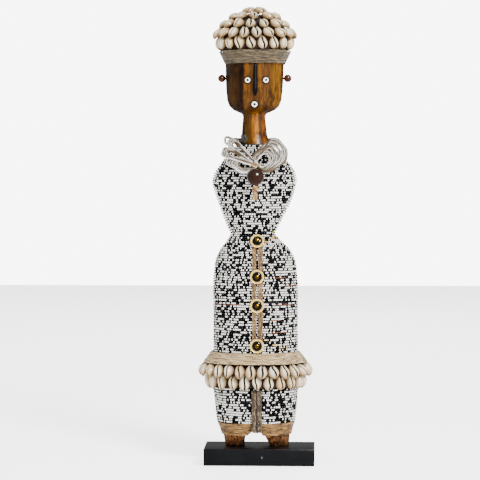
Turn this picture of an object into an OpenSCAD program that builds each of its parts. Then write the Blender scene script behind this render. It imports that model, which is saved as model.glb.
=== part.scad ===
// Carved fertility doll, wrapped in strung beads and trimmed with cowries and twine, on a block.
// Millimetres. The origin is the centre of the block's underside, +Z is up and the doll faces -Y.

/* [Stand] */
// Width of the base block
base_w = 150; // [140:1:180]
// Depth of the base block
base_d = 80; // [76:1:110]
// Height of the base block
base_h = 23; // [20:1:40]

/* [Body] */
// Half width of the hips, over the beads
hip_half = 58.4; // [57.6:0.2:58.8]
// Half width of the waist, over the beads
waist_half = 30.6; // [29:0.2:33]
// Half width of the chest, over the beads
chest_half = 58.4; // [57:0.2:60]
// Depth of the body as a share of its width
body_depth = 0.8; // [0.79:0.01:0.81]
// Thickness of the layer of strung beads
bead_layer = 3; // [2.4:0.2:3.2]
// Thickness of the twine wound round the ankles
cuff_layer = 2; // [1.6:0.2:2.2]

/* [Head] */
// Half width of the head at the brow
head_half = 39.6; // [39:0.2:39.8]
// Depth of the head as a share of its width
head_depth = 0.86; // [0.82:0.01:0.87]
// Diameter of the eye discs
eye_d = 8; // [6:0.2:8.6]
// Diameter of the mouth disc
mouth_d = 8.6; // [7:0.2:10]
// Diameter of the ear beads
ear_bead_d = 10.6; // [9.6:0.2:10.8]

/* [Cap] */
// Depth of the cap as a share of its width
cap_depth = 0.88; // [0.88:0.01:0.92]
// Length of a cap cowrie
cap_cowrie_l = 19; // [17:0.5:19]
// Width of a cap cowrie
cap_cowrie_w = 14.5; // [12:0.5:14.5]

/* [Fringe] */
// Length of a fringe cowrie
fringe_cowrie_l = 20; // [17:0.5:20]
// Width of a fringe cowrie
fringe_cowrie_w = 14.8; // [12:0.2:14.8]

/* [Buttons and pendant] */
// Diameter of a button
button_d = 19; // [16:0.5:20]
// Diameter of the wooden pendant bead
pendant_bead_d = 23.4; // [18:0.2:23.6]

/* [Hidden] */

$fn = 48;
sides = 24;
gap = 0.3;
fit_gap = 0.08;

// The doll stands a little left of the block's middle and behind its centre line.
figure_x = -7;
figure_y = 4;

// Colours of the finishes
lacquer_black = "#2a2c30";
carved_wood = "#a8672a";
dark_wood = "#4a2a20";
bone_white = "#f3efe6";
shell_cream = "#efe6d4";
fibre_brown = "#2a1a12";
twine_tan = "#c3a683";
bead_white = "#e9e7e4";
brass_gold = "#c9a227";
button_cream = "#e6c878";
button_black = "#1a1c24";
steel_grey = "#9a9ca0";

// Heights above the soles
waist_h = 290;
hip_h = 82;
neck_base_h = 413;
cuff_top_h = 34;
cuff_bottom_h = 15;
fringe_bottom_h = 83;
// Fringe: shells in each row, half width of the oval they stand on, height, and the splay of the upper ones
fringe_upper = [26, 70.5, 105.2, 30];
fringe_lower = [22, 63.3, 90.5];
fringe_turn = [0.2, 0.7];
skirt_lean = 1.1;

// Body rows: height, half width over the beads, depth share, sideways lean
hip_rows = [
    [hip_h, hip_half, body_depth, 1.3],
    [190, hip_half, body_depth, 1.3],
    [214, hip_half + 0.5, body_depth, 1],
    [232, hip_half - 0.2, body_depth, 1],
    [249, hip_half - 1.9, body_depth, 1.1],
    [260, hip_half - 5, body_depth, 0.9],
    [269, hip_half - 10.3, body_depth, 0.4],
    [279, waist_half + 8.6, body_depth, -0.8],
    [waist_h, waist_half, body_depth, -2.6]
];
chest_rows = [
    [waist_h, waist_half, body_depth, -2.6],
    [299.5, waist_half + 5, body_depth, -2.8],
    [315, waist_half + 12.2, body_depth, -1.6],
    [330, chest_half - 9.2, body_depth, -0.6],
    [345, chest_half - 3.6, body_depth, -0.4],
    [357, chest_half - 0.4, body_depth, -0.5],
    [364, chest_half, body_depth, -0.2],
    [374, chest_half - 2.7, body_depth, 0.5],
    [382, chest_half - 7.7, body_depth, 0.9],
    [389, chest_half - 13, body_depth + 0.01, 0.5],
    [397, chest_half - 20, body_depth + 0.03, 0],
    [407, chest_half - 29.4, body_depth + 0.08, -0.4],
    [neck_base_h, chest_half - 34.2, body_depth + 0.11, -0.4]
];
// Neck and head rows: height, half width, depth share, sideways lean, corner power
neck_rows = [
    [neck_base_h + 1, 20.4, 0.92, -0.4, 2],
    [418.5, 19.2, 0.92, -0.4, 2],
    [425, 17.4, 0.94, -0.5, 2],
    [438, 16.2, 0.95, -0.7, 2],
    [450, 15.1, 0.95, -0.8, 2]
];
head_rows = [
    [452.5, 16, head_depth + 0.06, -0.8, 2],
    [455, 22, head_depth + 0.02, -0.8, 2.2],
    [458.2, head_half - 11.1, head_depth, -0.7, 2.4],
    [463.5, head_half - 5.4, head_depth, -0.7, 2.4],
    [472, head_half - 2.5, head_depth, -0.6, 2.4],
    [486, head_half - 1.3, head_depth, -0.5, 2.4],
    [499, head_half - 0.5, head_depth, -0.3, 2.4],
    [522, head_half, head_depth, -0.2, 2.4],
    [530, head_half - 0.5, head_depth, 0, 2.4],
    [543, head_half - 3.6, head_depth, 0, 2.3],
    [554, head_half - 9.6, head_depth, 0, 2.2],
    [562, head_half - 17.6, head_depth, 0, 2],
    [567, head_half - 29.6, head_depth, 0, 2]
];
// Leg rows: height, outer and inner edge of the left leg, the same of the right leg,
// half depth, and how far the section's middle lies behind the figure's axis
leg_rows = [
    [hip_h - 0.4, -57, 2.4, 59.6, 5.7, hip_half * body_depth, 0],
    [60, -55, 2.4, 58.8, 5.7, 45.5, 0],
    [cuff_top_h, -52, 2.4, 55.8, 5.7, 42, 0],
    [26, -48.6, 1.6, 53, 6.4, 39, 0.5],
    [20, -46.6, -4.5, 51.6, 9, 37, 0.8],
    [cuff_bottom_h, -45.4, -10, 50.6, 12, 35, 1]
];
foot_row = [0, -40, -14, 46.8, 21, 15.5, 2.5];
leg_outer_power = 2.2;
leg_inner_power = 7;

// Openings in the carved wood
ear_peg_r = 1.5;
ear_peg_head_r = 2.2;
ear_h = 501.5;
ear_bead_x = 45;
screw_r = 1.9;
foot_x = [-27, 33.9];
foot_y = 2.5;
face_pin_r = 1.15;
eye_h = 498;
eye_x = [-8.6, 16.2];
mouth_h = 465.6;
mouth_x = 0.6;
nose_x = 1.6;
nose_bottom_h = 477;
nose_top_h = 521.5;
nose_seat_y = -31;
eye_floor_y = -32.4;
mouth_floor_y = -28.6;
peg_start_x = 31;

// Buttons: height, distance of the back from the axis, backward tilt. All sit at one place across.
button_x = 4.7;
button_t = 3;
buttons = [
    [280.5, 36.8, 25],
    [233.6, hip_half * body_depth + 3.6, 0],
    [194.6, hip_half * body_depth + 3.6, 0],
    [140.4, hip_half * body_depth + 3.6, 0]
];

// The pendant hangs from a pin in the necklace's tie
pivot = [2.6, -58.6, 384];
pendant_bead_h = 368;
pendant_knot_h = 353;
pendant_tail_h = 336;
cord_r = 1.6;
loop_hole_r = 1.3;
loop_wire_r = 1;
tie_half = 7;
tie_head_r = 2.6;
knot_top = 3;
knot_foot = 4;
// The cord starts a little inside the foot of its loop
loop_foot = pivot[2] - loop_hole_r - 2 * loop_wire_r + 0.4;

// Necklace bundles: points along each bundle with its radius there
left_bundle = [
    [-25, -21, 416, 4], [-33, -22.5, 410, 6], [-39.5, -28, 399, 7], [-38, -37, 388, 7],
    [-27, -45, 380, 6.5], [-15, -50.5, 378.5, 5.5], [-5.5, -53.5, 380, 4]
];
right_bundle = [
    [25, -21, 416, 4], [33.5, -23, 411, 6], [41, -29, 401, 7], [43, -36, 390, 7],
    [34, -43.5, 380, 6.5], [22, -49, 378.5, 5.5], [11, -53, 380, 4]
];
back_strand_r = 4.5;

// Places in a section that runs right round: a power above 2 squares its corners
function signed_pow(v, p) = sign(v) * pow(abs(v), 2 / p);
function section(h, half_x, half_y, cx, cy, p_left, p_right) = [
    for (i = [0 : sides - 1])
        let (a = 360 * i / sides, p = cos(a) > 0 ? p_right : p_left)
        [cx + half_x * signed_pow(cos(a), p), cy + half_y * signed_pow(sin(a), p), h]
];
// Sections of the body, neck and head, taken in by an inset
function body_section(row, inset) =
    section(row[0], row[1] - inset, row[1] * row[2] - inset, row[3], 0, 2, 2);
function head_section(row, inset) =
    section(row[0], row[1] - inset, row[1] * row[2] - inset, row[3], 0, row[4], row[4]);
// Section of a leg: the half of the trunk's oval on one side of the slit, with rounded inner corners.
// side is 1 for the left leg and 3 for the right one.
function oval_limit(x, half_x, half_y, cx) = half_y * sqrt(max(0, 1 - pow((x - cx) / half_x, 2)));
function leg_section(row, side, inset) =
    let (
        outer = row[side],
        inner = row[side + 1],
        left = side == 1,
        half_y = row[5] - inset,
        ring = section(
            row[0], abs(outer - inner) / 2 - inset, half_y, (outer + inner) / 2, 0,
            left ? leg_outer_power : leg_inner_power, left ? leg_inner_power : leg_outer_power
        ),
        half_oval = (row[3] - row[1]) / 2 - inset,
        mid_oval = (row[3] + row[1]) / 2
    )
    [
        for (p = ring)
            [p[0], row[6] + sign(p[1]) * min(abs(p[1]), oval_limit(p[0], half_oval, half_y, mid_oval)), p[2]]
    ];
// Section of a foot: a rounded block of its own
function foot_section(row, side) =
    section(
        row[0], abs(row[side] - row[side + 1]) / 2, row[5], (row[side] + row[side + 1]) / 2, row[6], 3, 3
    );
function reversed(v) = [for (i = [len(v) - 1 : -1 : 0]) v[i]];

// Half depth of the body at a height, and the front surface at a place across it
function half_at(h) = lookup(h, [for (row = hip_rows) [row[0], row[1]]]);
function lean_at(h) = lookup(h, [for (row = hip_rows) [row[0], row[3]]]);
function front_at(x, h) =
    -half_at(h) * body_depth * sqrt(1 - pow((x - lean_at(h)) / half_at(h), 2));
function leg_depth_at(h) = lookup(h, [for (row = reversed(leg_rows)) [row[0], row[5] - row[6]]]);

// A skin over rings of points. Open skins get a flat lid at each end, and closed ones join up.
module skin(rings, closed = false) {
    n = len(rings[0]);
    count = len(rings);
    points = [for (ring = rings) for (p = ring) p];
    walls = [
        for (k = [0 : closed ? count - 1 : count - 2])
            for (i = [0 : n - 1])
                for (t = [0, 1])
                    let (j = (i + 1) % n, m = (k + 1) % count)
                    t == 0 ? [k * n + i, m * n + j, k * n + j] : [k * n + i, m * n + i, m * n + j]
    ];
    lids = closed ? [] : [
        [for (i = [0 : n - 1]) i],
        [for (i = [n - 1 : -1 : 0]) (count - 1) * n + i]
    ];
    polyhedron(points, concat(walls, lids), convexity = 10);
}

// A round tube along points [x, y, z, radius]; across is a direction that the path never takes
function unit(v) = v / norm(v);
function place(p) = [p[0], p[1], p[2]];
function tube_ring(path, k, across, n) =
    let (
        before = place(path[max(k - 1, 0)]),
        after = place(path[min(k + 1, len(path) - 1)]),
        along = unit(after - before),
        v = unit(cross(along, across)),
        u = cross(v, along)
    )
    [for (i = [0 : n - 1]) place(path[k]) + path[k][3] * (cos(360 * i / n) * u + sin(360 * i / n) * v)];
module tube(path, across, n = 8) {
    skin([for (k = [0 : len(path) - 1]) tube_ring(path, k, across, n)]);
}

module on_base() {
    translate([figure_x, figure_y, base_h]) children();
}

// Evenly spaced places round an oval, by the angle that gives equal steps along it
function even_angle(u, share) = u + (1 - share) / (2 * (1 + share)) * sin(2 * u) * 180 / PI;
module round_oval(count, half_x, share, h, turn = 0) {
    for (i = [0 : count - 1]) {
        a = even_angle(360 * (i + turn) / count, share);
        translate([half_x * cos(a), half_x * share * sin(a), h])
            rotate([0, 0, atan2(sin(a) / share, cos(a))])
                children();
    }
}

// A cowrie with its long axis upright, its slot facing +X and its flat back on x = 0
module cowrie(l, w, h) {
    arc_r = (l * l / 4 + w * w / 4) / w;
    slot_w = w * 0.1;
    difference() {
        intersection() {
            translate([h - w / 2, 0, 0])
                rotate_extrude()
                    intersection() {
                        translate([w / 2 - arc_r, 0]) circle(arc_r, $fn = 96);
                        translate([0, -l]) square([w, 2 * l]);
                    }
            translate([0, -w, -l]) cube([2 * w, 2 * w, 2 * l]);
        }
        translate([h - 2, -slot_w / 2, -l * 0.4]) cube([w, slot_w, l * 0.8]);
    }
}

// Stand
module base_block() {
    color(lacquer_black)
        difference() {
            translate([-base_w / 2, -base_d / 2, 0]) cube([base_w, base_d, base_h]);
            for (x = foot_x)
                translate([figure_x + x, figure_y + foot_y, 0]) {
                    translate([0, 0, -1]) cylinder(r = screw_r + gap, h = base_h + 2);
                    translate([0, 0, -1]) cylinder(r = 4.6, h = 2);
                    translate([0, 0, 1]) cylinder(r1 = 4.6, r2 = screw_r + gap, h = 3.2);
                }
        }
}

module foot_screws() {
    color(steel_grey)
        for (x = foot_x)
            translate([figure_x + x, figure_y + foot_y, 1]) {
                cylinder(r1 = 4.2, r2 = screw_r, h = 3);
                cylinder(r = screw_r, h = base_h + 14);
            }
}

// Carved wood: legs and feet, trunk, neck and head in one piece, with its drilled holes
module leg_wood(side) {
    top = concat([hip_h + 1], [for (k = [1 : 6]) leg_rows[0][k]]);
    skin(concat(
        [foot_section(foot_row, side)],
        [for (row = reversed(leg_rows)) leg_section(row, side, cuff_layer + 2 * gap)],
        [leg_section(top, side, 12)]
    ));
}

module trunk_and_head() {
    skin(concat(
        [for (row = hip_rows) body_section(row, bead_layer + gap)],
        [for (k = [1 : len(chest_rows) - 1]) body_section(chest_rows[k], bead_layer + gap)],
        [for (row = concat(neck_rows, head_rows)) head_section(row, 0)]
    ));
}

module nose_outline(ease = 0) {
    polygon([
        [-4 - ease, nose_bottom_h], [4 + ease, nose_bottom_h],
        [2.9 + ease, nose_top_h], [-2.9 - ease, nose_top_h]
    ]);
}

module face_drilling(x, h, disc_r, floor_y) {
    translate([x, floor_y, h]) rotate([90, 0, 0]) cylinder(r = disc_r, h = 12);
    translate([x, floor_y + 5, h]) rotate([90, 0, 0]) cylinder(r = face_pin_r + 0.05, h = 12);
}

module figure_core() {
    color(carved_wood)
        on_base()
            difference() {
                union() {
                    leg_wood(1);
                    leg_wood(3);
                    trunk_and_head();
                }
                for (x = foot_x)
                    translate([x, foot_y, -1]) cylinder(r = screw_r + 0.05, h = 17);
                for (side = [-1, 1])
                    translate([side * peg_start_x, 0, ear_h])
                        rotate([0, side * 90, 0])
                            cylinder(r = ear_peg_r + 0.03, h = 12);
                for (x = eye_x) face_drilling(x, eye_h, eye_d / 2 + gap / 6, eye_floor_y);
                face_drilling(mouth_x, mouth_h, mouth_d / 2 + gap / 6, mouth_floor_y);
                translate([nose_x, nose_seat_y, 0])
                    rotate([90, 0, 0])
                        linear_extrude(12)
                            nose_outline(0.05);
            }
}

// Face
module nose_ridge() {
    color(dark_wood)
        on_base()
            translate([nose_x, nose_seat_y - 0.05, 0])
                rotate([90, 0, 0])
                    linear_extrude(7)
                        nose_outline();
}

module face_disc(x, h, d, back_y) {
    color(bone_white)
        on_base()
            translate([x, back_y - 0.05, h])
                rotate([90, 0, 0])
                    difference() {
                        cylinder(d = d, h = 2);
                        translate([0, 0, -1]) cylinder(r = face_pin_r + 0.05, h = 4);
                    }
}

module face_pin(x, h, back_y) {
    translate([x, back_y + 4.9, h])
        rotate([90, 0, 0])
            cylinder(r = face_pin_r, h = 7.3);
}

module left_eye_disc() {
    face_disc(eye_x[0], eye_h, eye_d, eye_floor_y);
}

module right_eye_disc() {
    face_disc(eye_x[1], eye_h, eye_d, eye_floor_y);
}

module mouth_disc() {
    face_disc(mouth_x, mouth_h, mouth_d, mouth_floor_y);
}

module face_pins() {
    color(dark_wood)
        on_base() {
            for (x = eye_x) face_pin(x, eye_h, eye_floor_y);
            face_pin(mouth_x, mouth_h, mouth_floor_y);
        }
}

// Ears: a bead that turns on a headed peg; side is -1 for the left ear and 1 for the right one
module ear_peg(side) {
    color(dark_wood)
        on_base()
            translate([side * (peg_start_x + 0.2), 0, ear_h])
                rotate([0, side * 90, 0]) {
                    cylinder(r = ear_peg_r, h = ear_bead_x + ear_bead_d / 2 - peg_start_x - 1.2);
                    translate([0, 0, ear_bead_x + ear_bead_d / 2 - peg_start_x - 1.4])
                        cylinder(r = ear_peg_head_r, h = 1);
                }
}

module ear_bead(side) {
    color(dark_wood)
        on_base()
            translate([side * ear_bead_x, 0, ear_h])
                rotate([0, side * 90, 0])
                    difference() {
                        sphere(d = ear_bead_d);
                        translate([0, 0, -10]) cylinder(r = ear_peg_r + fit_gap, h = 20);
                        translate([0, 0, ear_bead_d / 2 - 1.6]) cylinder(r = 2.5, h = 5);
                    }
}

module left_ear_peg() {
    ear_peg(-1);
}

module right_ear_peg() {
    ear_peg(1);
}

module left_ear_bead() {
    ear_bead(-1);
}

module right_ear_bead() {
    ear_bead(1);
}

// Cap: a thick fibre dome over the head, a flared twine band round its foot, and rows of cowries
module cap_dome() {
    inner = [[530, 39.9], [543, 37.2], [554, 31.2], [563, 23], [568.5, 11]];
    outer = [
        [530, 41, 2.4], [537, 43.6, 2.2], [543, 46.4, 2], [555, 46.4, 2], [563, 43.5, 2],
        [571, 36, 2], [577, 30, 2], [582, 22.5, 2], [586, 12, 2], [588, 4, 2]
    ];
    color(fibre_brown)
        on_base()
            skin(concat(
                [for (r = reversed(inner)) section(r[0], r[1], r[1] * cap_depth, 0, 0, 2.4, 2.4)],
                [for (r = outer) section(r[0], r[1], r[1] * cap_depth, 0, 0, r[2], r[2])]
            ));
}

module cap_band() {
    outer = [[522.5, 40.9], [539, 50.3]];
    inner = [[539, 48], [530, 42], [522.5, 40.2]];
    color(twine_tan)
        on_base()
            skin([
                for (r = concat(outer, inner)) section(r[0], r[1], r[1] * cap_depth, 0.4, 0, 2.4, 2.4)
            ], true);
}

// Cap rows: how many, half width to the backs, height of the middle, lean, turn, depth share
cap_rows = [
    [18, 47, 548.7, 0, 0.25, cap_depth],
    [18, 49.3, 561, -50, 0.75, cap_depth],
    [14, 40.3, 573.1, -60, 0.25, cap_depth],
    [9, 27.6, 583.6, -70, 0.75, cap_depth],
    [5, 13, 591.9, -80, 0.25, 1]
];
module cap_cowries(k) {
    row = cap_rows[k];
    color(shell_cream)
        on_base()
            round_oval(row[0], row[1], row[5], row[2], row[4])
                rotate([0, row[3], 0])
                    cowrie(cap_cowrie_l, cap_cowrie_w, 7);
}

module cap_cowries_row_1() {
    cap_cowries(0);
}

module cap_cowries_row_2() {
    cap_cowries(1);
}

module cap_cowries_row_3() {
    cap_cowries(2);
}

module cap_cowries_row_4() {
    cap_cowries(3);
}

module cap_cowries_row_5() {
    cap_cowries(4);
}

module neck_knot() {
    color(dark_wood)
        on_base()
            translate([-14, -27.5, 419.5])
                sphere(r = 5.2);
}

// Bead wraps: closed shells that follow the carved wood
module body_wrap(rows) {
    color(bead_white)
        on_base()
            skin(concat(
                [for (row = rows) body_section(row, 0)],
                [for (row = reversed(rows)) body_section(row, bead_layer)]
            ), true);
}

module chest_bead_wrap() {
    body_wrap(chest_rows);
}

module hip_bead_wrap() {
    body_wrap(hip_rows);
}

module leg_shell(side, rows, layer, shade) {
    color(shade)
        on_base()
            skin(concat(
                [for (row = reversed(rows)) leg_section(row, side, 0)],
                [for (row = rows) leg_section(row, side, layer)]
            ), true);
}

// The leg wraps stop just below the hips' wrap, and the cuffs start where they end
bead_leg_rows = [for (k = [0 : 2]) leg_rows[k]];
cuff_rows = [for (k = [2 : len(leg_rows) - 1]) leg_rows[k]];

module left_leg_bead_wrap() {
    leg_shell(1, bead_leg_rows, cuff_layer, bead_white);
}

module right_leg_bead_wrap() {
    leg_shell(3, bead_leg_rows, cuff_layer, bead_white);
}

module left_cuff() {
    leg_shell(1, cuff_rows, cuff_layer, twine_tan);
}

module right_cuff() {
    leg_shell(3, cuff_rows, cuff_layer, twine_tan);
}

// Necklace: two gathered bundles of strung beads, the strands behind the neck, and their tie
module necklace_left_loops() {
    color(bead_white)
        on_base()
            tube(left_bundle, [0.3, 1, 0.2], 12);
}

module necklace_right_loops() {
    color(bead_white)
        on_base()
            tube(right_bundle, [-0.3, 1, 0.2], 12);
}

module necklace_back_strands() {
    color(bead_white)
        on_base()
            tube(
                [for (a = [-30 : 20 : 210]) [28.5 * cos(a), 2 + 27 * sin(a), 418, back_strand_r]],
                [0, 0, 1], 12
            );
}

module necklace_tie() {
    color(twine_tan)
        on_base()
            translate(pivot)
                rotate([0, 90, 0])
                    rotate_extrude()
                        polygon([
                            [0, -tie_half], [1.8, -tie_half], [tie_head_r, -5.6], [tie_head_r, -3.4],
                            [loop_hole_r - fit_gap, -2.4], [loop_hole_r - fit_gap, 2.4],
                            [tie_head_r, 3.4], [tie_head_r, 5.6], [1.8, tie_half], [0, tie_half]
                        ]);
}

// Pendant: a loop and cord, the bead that turns on the cord, a knot and a frayed tail
module pendant_cord() {
    color(twine_tan)
        on_base() {
            translate(pivot)
                rotate([0, 90, 0])
                    rotate_extrude()
                        translate([loop_hole_r + loop_wire_r, 0]) circle(loop_wire_r);
            translate([pivot[0], pivot[1], pendant_knot_h + knot_top])
                cylinder(r = cord_r, h = loop_foot - pendant_knot_h - knot_top);
        }
}

module pendant_bead() {
    color(dark_wood)
        on_base()
            translate([pivot[0], pivot[1], pendant_bead_h])
                difference() {
                    sphere(d = pendant_bead_d);
                    translate([0, 0, -15]) cylinder(r = cord_r + fit_gap, h = 30);
                }
}

module pendant_knot() {
    color(twine_tan)
        on_base()
            translate([pivot[0], pivot[1], pendant_knot_h])
                rotate_extrude()
                    polygon([
                        [0, -knot_foot], [2.6, -knot_foot], [5, -2], [5, 1], [2.6, knot_top], [0, knot_top]
                    ]);
}

module pendant_tail() {
    color(twine_tan)
        on_base()
            translate([pivot[0], pivot[1], pendant_tail_h])
                cylinder(r1 = 4.4, r2 = 2.6, h = pendant_knot_h - knot_foot - pendant_tail_h);
}

// Placket: two twines on each side of a dark gap, down the front of the hips
module front_twines(places, r) {
    color(twine_tan)
        on_base()
            for (x = places)
                tube(
                    [for (h = [142 : 8.6 : 280]) [x, front_at(x, h) - 1.2 * r - 1.4 * gap, h, r]],
                    [1, 0, 0]
                );
}

module placket_left_twine() {
    front_twines([-0.5, 1.8], 1.1);
}

module placket_right_twine() {
    front_twines([7.8, 10.6], 1.35);
}

// Buttons: a dished disc, a black dome in the dish, and a domed stud through both
module on_button(k) {
    on_base()
        translate([button_x, -buttons[k][1], buttons[k][0]])
            rotate([90 - buttons[k][2], 0, 0])
                children();
}

module button_disc(k) {
    color(button_cream)
        on_button(k)
            difference() {
                cylinder(d = button_d, h = button_t);
                translate([0, 0, button_t - 1]) cylinder(r1 = 7.3, r2 = 8.6, h = 1.01);
                translate([0, 0, -1]) cylinder(r = 0.85, h = 6);
            }
}

module button_dome(k) {
    color(button_black)
        on_button(k)
            translate([0, 0, button_t - 1])
                difference() {
                    intersection() {
                        translate([0, 0, 3.6 - 8.6]) sphere(r = 8.6);
                        cylinder(r = 7, h = 6);
                    }
                    translate([0, 0, -1]) cylinder(r = 0.85, h = 8);
                }
}

module button_studs() {
    color(brass_gold)
        for (k = [0 : 3])
            on_button(k) {
                translate([0, 0, 0.2]) cylinder(r = 0.8, h = 6);
                translate([0, 0, button_t + 2.7])
                    intersection() {
                        sphere(r = 2.7);
                        cylinder(r = 3, h = 3);
                    }
            }
}

module button_disc_1() {
    button_disc(0);
}

module button_disc_2() {
    button_disc(1);
}

module button_disc_3() {
    button_disc(2);
}

module button_disc_4() {
    button_disc(3);
}

module button_dome_1() {
    button_dome(0);
}

module button_dome_2() {
    button_dome(1);
}

module button_dome_3() {
    button_dome(2);
}

module button_dome_4() {
    button_dome(3);
}

// Skirt: a twine cone, the fibre strip below it, and two rows of cowries hung from that strip
module oval_shell(rows, lean) {
    on_base()
        skin([for (r = rows) section(r[0], r[1], r[1] * body_depth, lean, 0, 2, 2)], true);
}

module skirt_band() {
    color(twine_tan)
        oval_shell([[114, 73], [130, hip_half + 2.2], [130, hip_half + 0.5], [114, 71.4]], skirt_lean);
}

module fringe_backing() {
    color(fibre_brown)
        oval_shell([
            [fringe_bottom_h, 62.9], [101, 62.9], [112, 63.8],
            [112, 61.8], [101, 60.9], [fringe_bottom_h, 60.9]
        ], skirt_lean);
}

module fringe_upper_cowries() {
    color(shell_cream)
        on_base()
            translate([skirt_lean, 0, 0])
                round_oval(fringe_upper[0], fringe_upper[1], body_depth, fringe_upper[2], fringe_turn[0])
                    rotate([0, -fringe_upper[3], 0])
                        cowrie(fringe_cowrie_l, fringe_cowrie_w, 7);
}

module fringe_lower_cowries() {
    color(shell_cream)
        on_base()
            translate([skirt_lean, 0, 0])
                round_oval(fringe_lower[0], fringe_lower[1], body_depth, fringe_lower[2], fringe_turn[1])
                    cowrie(fringe_cowrie_l, fringe_cowrie_w, 7);
}

// Leg divider: two pairs of twines down the slit between the legs, and a dark cord that fills the slit
module leg_twines(places, r, proud) {
    on_base()
        for (x = places)
            tube([for (h = [22 : 9.6 : 81]) [x, -leg_depth_at(h) - proud, h, r]], [1, 0, 0]);
}

module leg_divider_left_twine() {
    color(twine_tan) leg_twines([-1.2, 1.6], 1.3, 0.6);
}

module leg_divider_right_twine() {
    color(twine_tan) leg_twines([6.3, 9.1], 1.3, 0.6);
}

module leg_divider_dark_cord() {
    color(fibre_brown) leg_twines([3.95], 1, 0.3);
}

base_block();
foot_screws();
figure_core();
nose_ridge();
left_eye_disc();
right_eye_disc();
mouth_disc();
face_pins();
left_ear_peg();
right_ear_peg();
left_ear_bead();
right_ear_bead();
cap_dome();
cap_band();
cap_cowries_row_1();
cap_cowries_row_2();
cap_cowries_row_3();
cap_cowries_row_4();
cap_cowries_row_5();
neck_knot();
chest_bead_wrap();
hip_bead_wrap();
left_leg_bead_wrap();
right_leg_bead_wrap();
necklace_left_loops();
necklace_right_loops();
necklace_back_strands();
necklace_tie();
pendant_cord();
pendant_knot();
pendant_tail();
pendant_bead();
placket_left_twine();
placket_right_twine();
button_disc_1();
button_disc_2();
button_disc_3();
button_disc_4();
button_dome_1();
button_dome_2();
button_dome_3();
button_dome_4();
button_studs();
skirt_band();
fringe_backing();
fringe_upper_cowries();
fringe_lower_cowries();
leg_divider_left_twine();
leg_divider_right_twine();
leg_divider_dark_cord();
left_cuff();
right_cuff();
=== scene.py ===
# %% [markdown]
# # A beaded doll with a cowrie cap
# The object is a carved wooden figure, wound with strings of glass seed beads, with a cap and a skirt
# fringe of cowrie shells, twine bands, buttons, a necklace with a hanging wooden bead, and a lacquered
# block to stand on. The imported CAD model gives the place and the size of every part, so the first step
# loads it.

# %% Load the imported frame
import math
import bpy
import bmesh
import numpy as np
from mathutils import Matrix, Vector
from mathutils.bvhtree import BVHTree


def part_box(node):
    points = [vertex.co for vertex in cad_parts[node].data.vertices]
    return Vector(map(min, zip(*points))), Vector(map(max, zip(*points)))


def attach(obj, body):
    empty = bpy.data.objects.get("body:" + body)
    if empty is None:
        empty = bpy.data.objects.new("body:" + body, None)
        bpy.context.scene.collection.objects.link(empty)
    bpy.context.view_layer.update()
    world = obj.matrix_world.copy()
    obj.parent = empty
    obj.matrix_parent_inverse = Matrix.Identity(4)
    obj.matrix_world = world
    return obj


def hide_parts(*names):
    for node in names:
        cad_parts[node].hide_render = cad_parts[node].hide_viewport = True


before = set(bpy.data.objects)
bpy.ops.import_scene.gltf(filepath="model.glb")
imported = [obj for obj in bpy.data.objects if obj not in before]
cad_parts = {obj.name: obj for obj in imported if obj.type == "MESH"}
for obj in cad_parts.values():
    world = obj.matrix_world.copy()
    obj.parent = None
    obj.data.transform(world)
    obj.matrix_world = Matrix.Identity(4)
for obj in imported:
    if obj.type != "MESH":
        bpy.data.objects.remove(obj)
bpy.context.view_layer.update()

MM = 0.001
AXIS = Vector((-7 * MM, 4 * MM, 0))
SOLES = 23 * MM
SAME_PLACE = 0.01 * MM
SEED = 11
rng = np.random.default_rng(SEED)
bpy.ops.object.select_all(action="DESELECT")

# %% [markdown]
# ## Camera
# The doll is seen from the front, a little from the right and from just above the waist, through a long
# lens that hardly bends its straight lines.

# %% Camera
def in_scene(name, data):
    """A new object that holds the data and is part of the scene."""
    obj = bpy.data.objects.new(name, data)
    bpy.context.scene.collection.objects.link(obj)
    return obj


camera_data = bpy.data.cameras.new("long_lens")
camera_data.lens = 158.5
camera_data.sensor_width = 36
camera = in_scene("camera", camera_data)
camera.location = (0.0827, -2.880, 0.4167)
aim = Vector((-0.0271, 0.003, 0.3042))
camera.rotation_euler = (aim - camera.location).to_track_quat("-Z", "Y").to_euler()
bpy.context.scene.camera = camera
world = bpy.data.worlds.new("pale_sky")
bpy.context.scene.world = world
world.use_nodes = True
print("camera at", [round(v, 3) for v in camera.location])

# %% [markdown]
# ## Helpers for materials
# Hex colours are what a paint chart gives. The shader wants linear light, so one function turns the one
# into the other. Another adds a node with its settings and links, and short ones built on it do a sum,
# spread a range, mix, make noise or start a material. Every colour that varies comes from nodes on Object
# coordinates, so a pattern has its true size everywhere.

# %% Material helpers
def linear(hex_colour):
    parts = [int(hex_colour[i:i + 2], 16) / 255 for i in (1, 3, 5)]
    return tuple(c / 12.92 if c <= 0.04045 else ((c + 0.055) / 1.055) ** 2.4 for c in parts) + (1,)


def add(tree, kind, inputs=None, **settings):
    node = tree.nodes.new(kind)
    for key, value in settings.items():
        setattr(node, key, value)
    for key, value in (inputs or {}).items():
        if isinstance(value, bpy.types.NodeSocket):
            tree.links.new(value, node.inputs[key])
        else:
            node.inputs[key].default_value = value
    return node


def calc(tree, operation, a, b):
    """One sum on two values."""
    return add(tree, "ShaderNodeMath", {0: a, 1: b}, operation=operation).outputs[0]


def span(tree, value, start, end, top=1.0):
    """0 where the value is start, top where it is end, and evenly in between."""
    return add(tree, "ShaderNodeMapRange", {0: value, 1: start, 2: end, 4: top}).outputs[0]


def paint(tree, shader, colour):
    tree.links.new(colour, shader.inputs["Base Color"])


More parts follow.
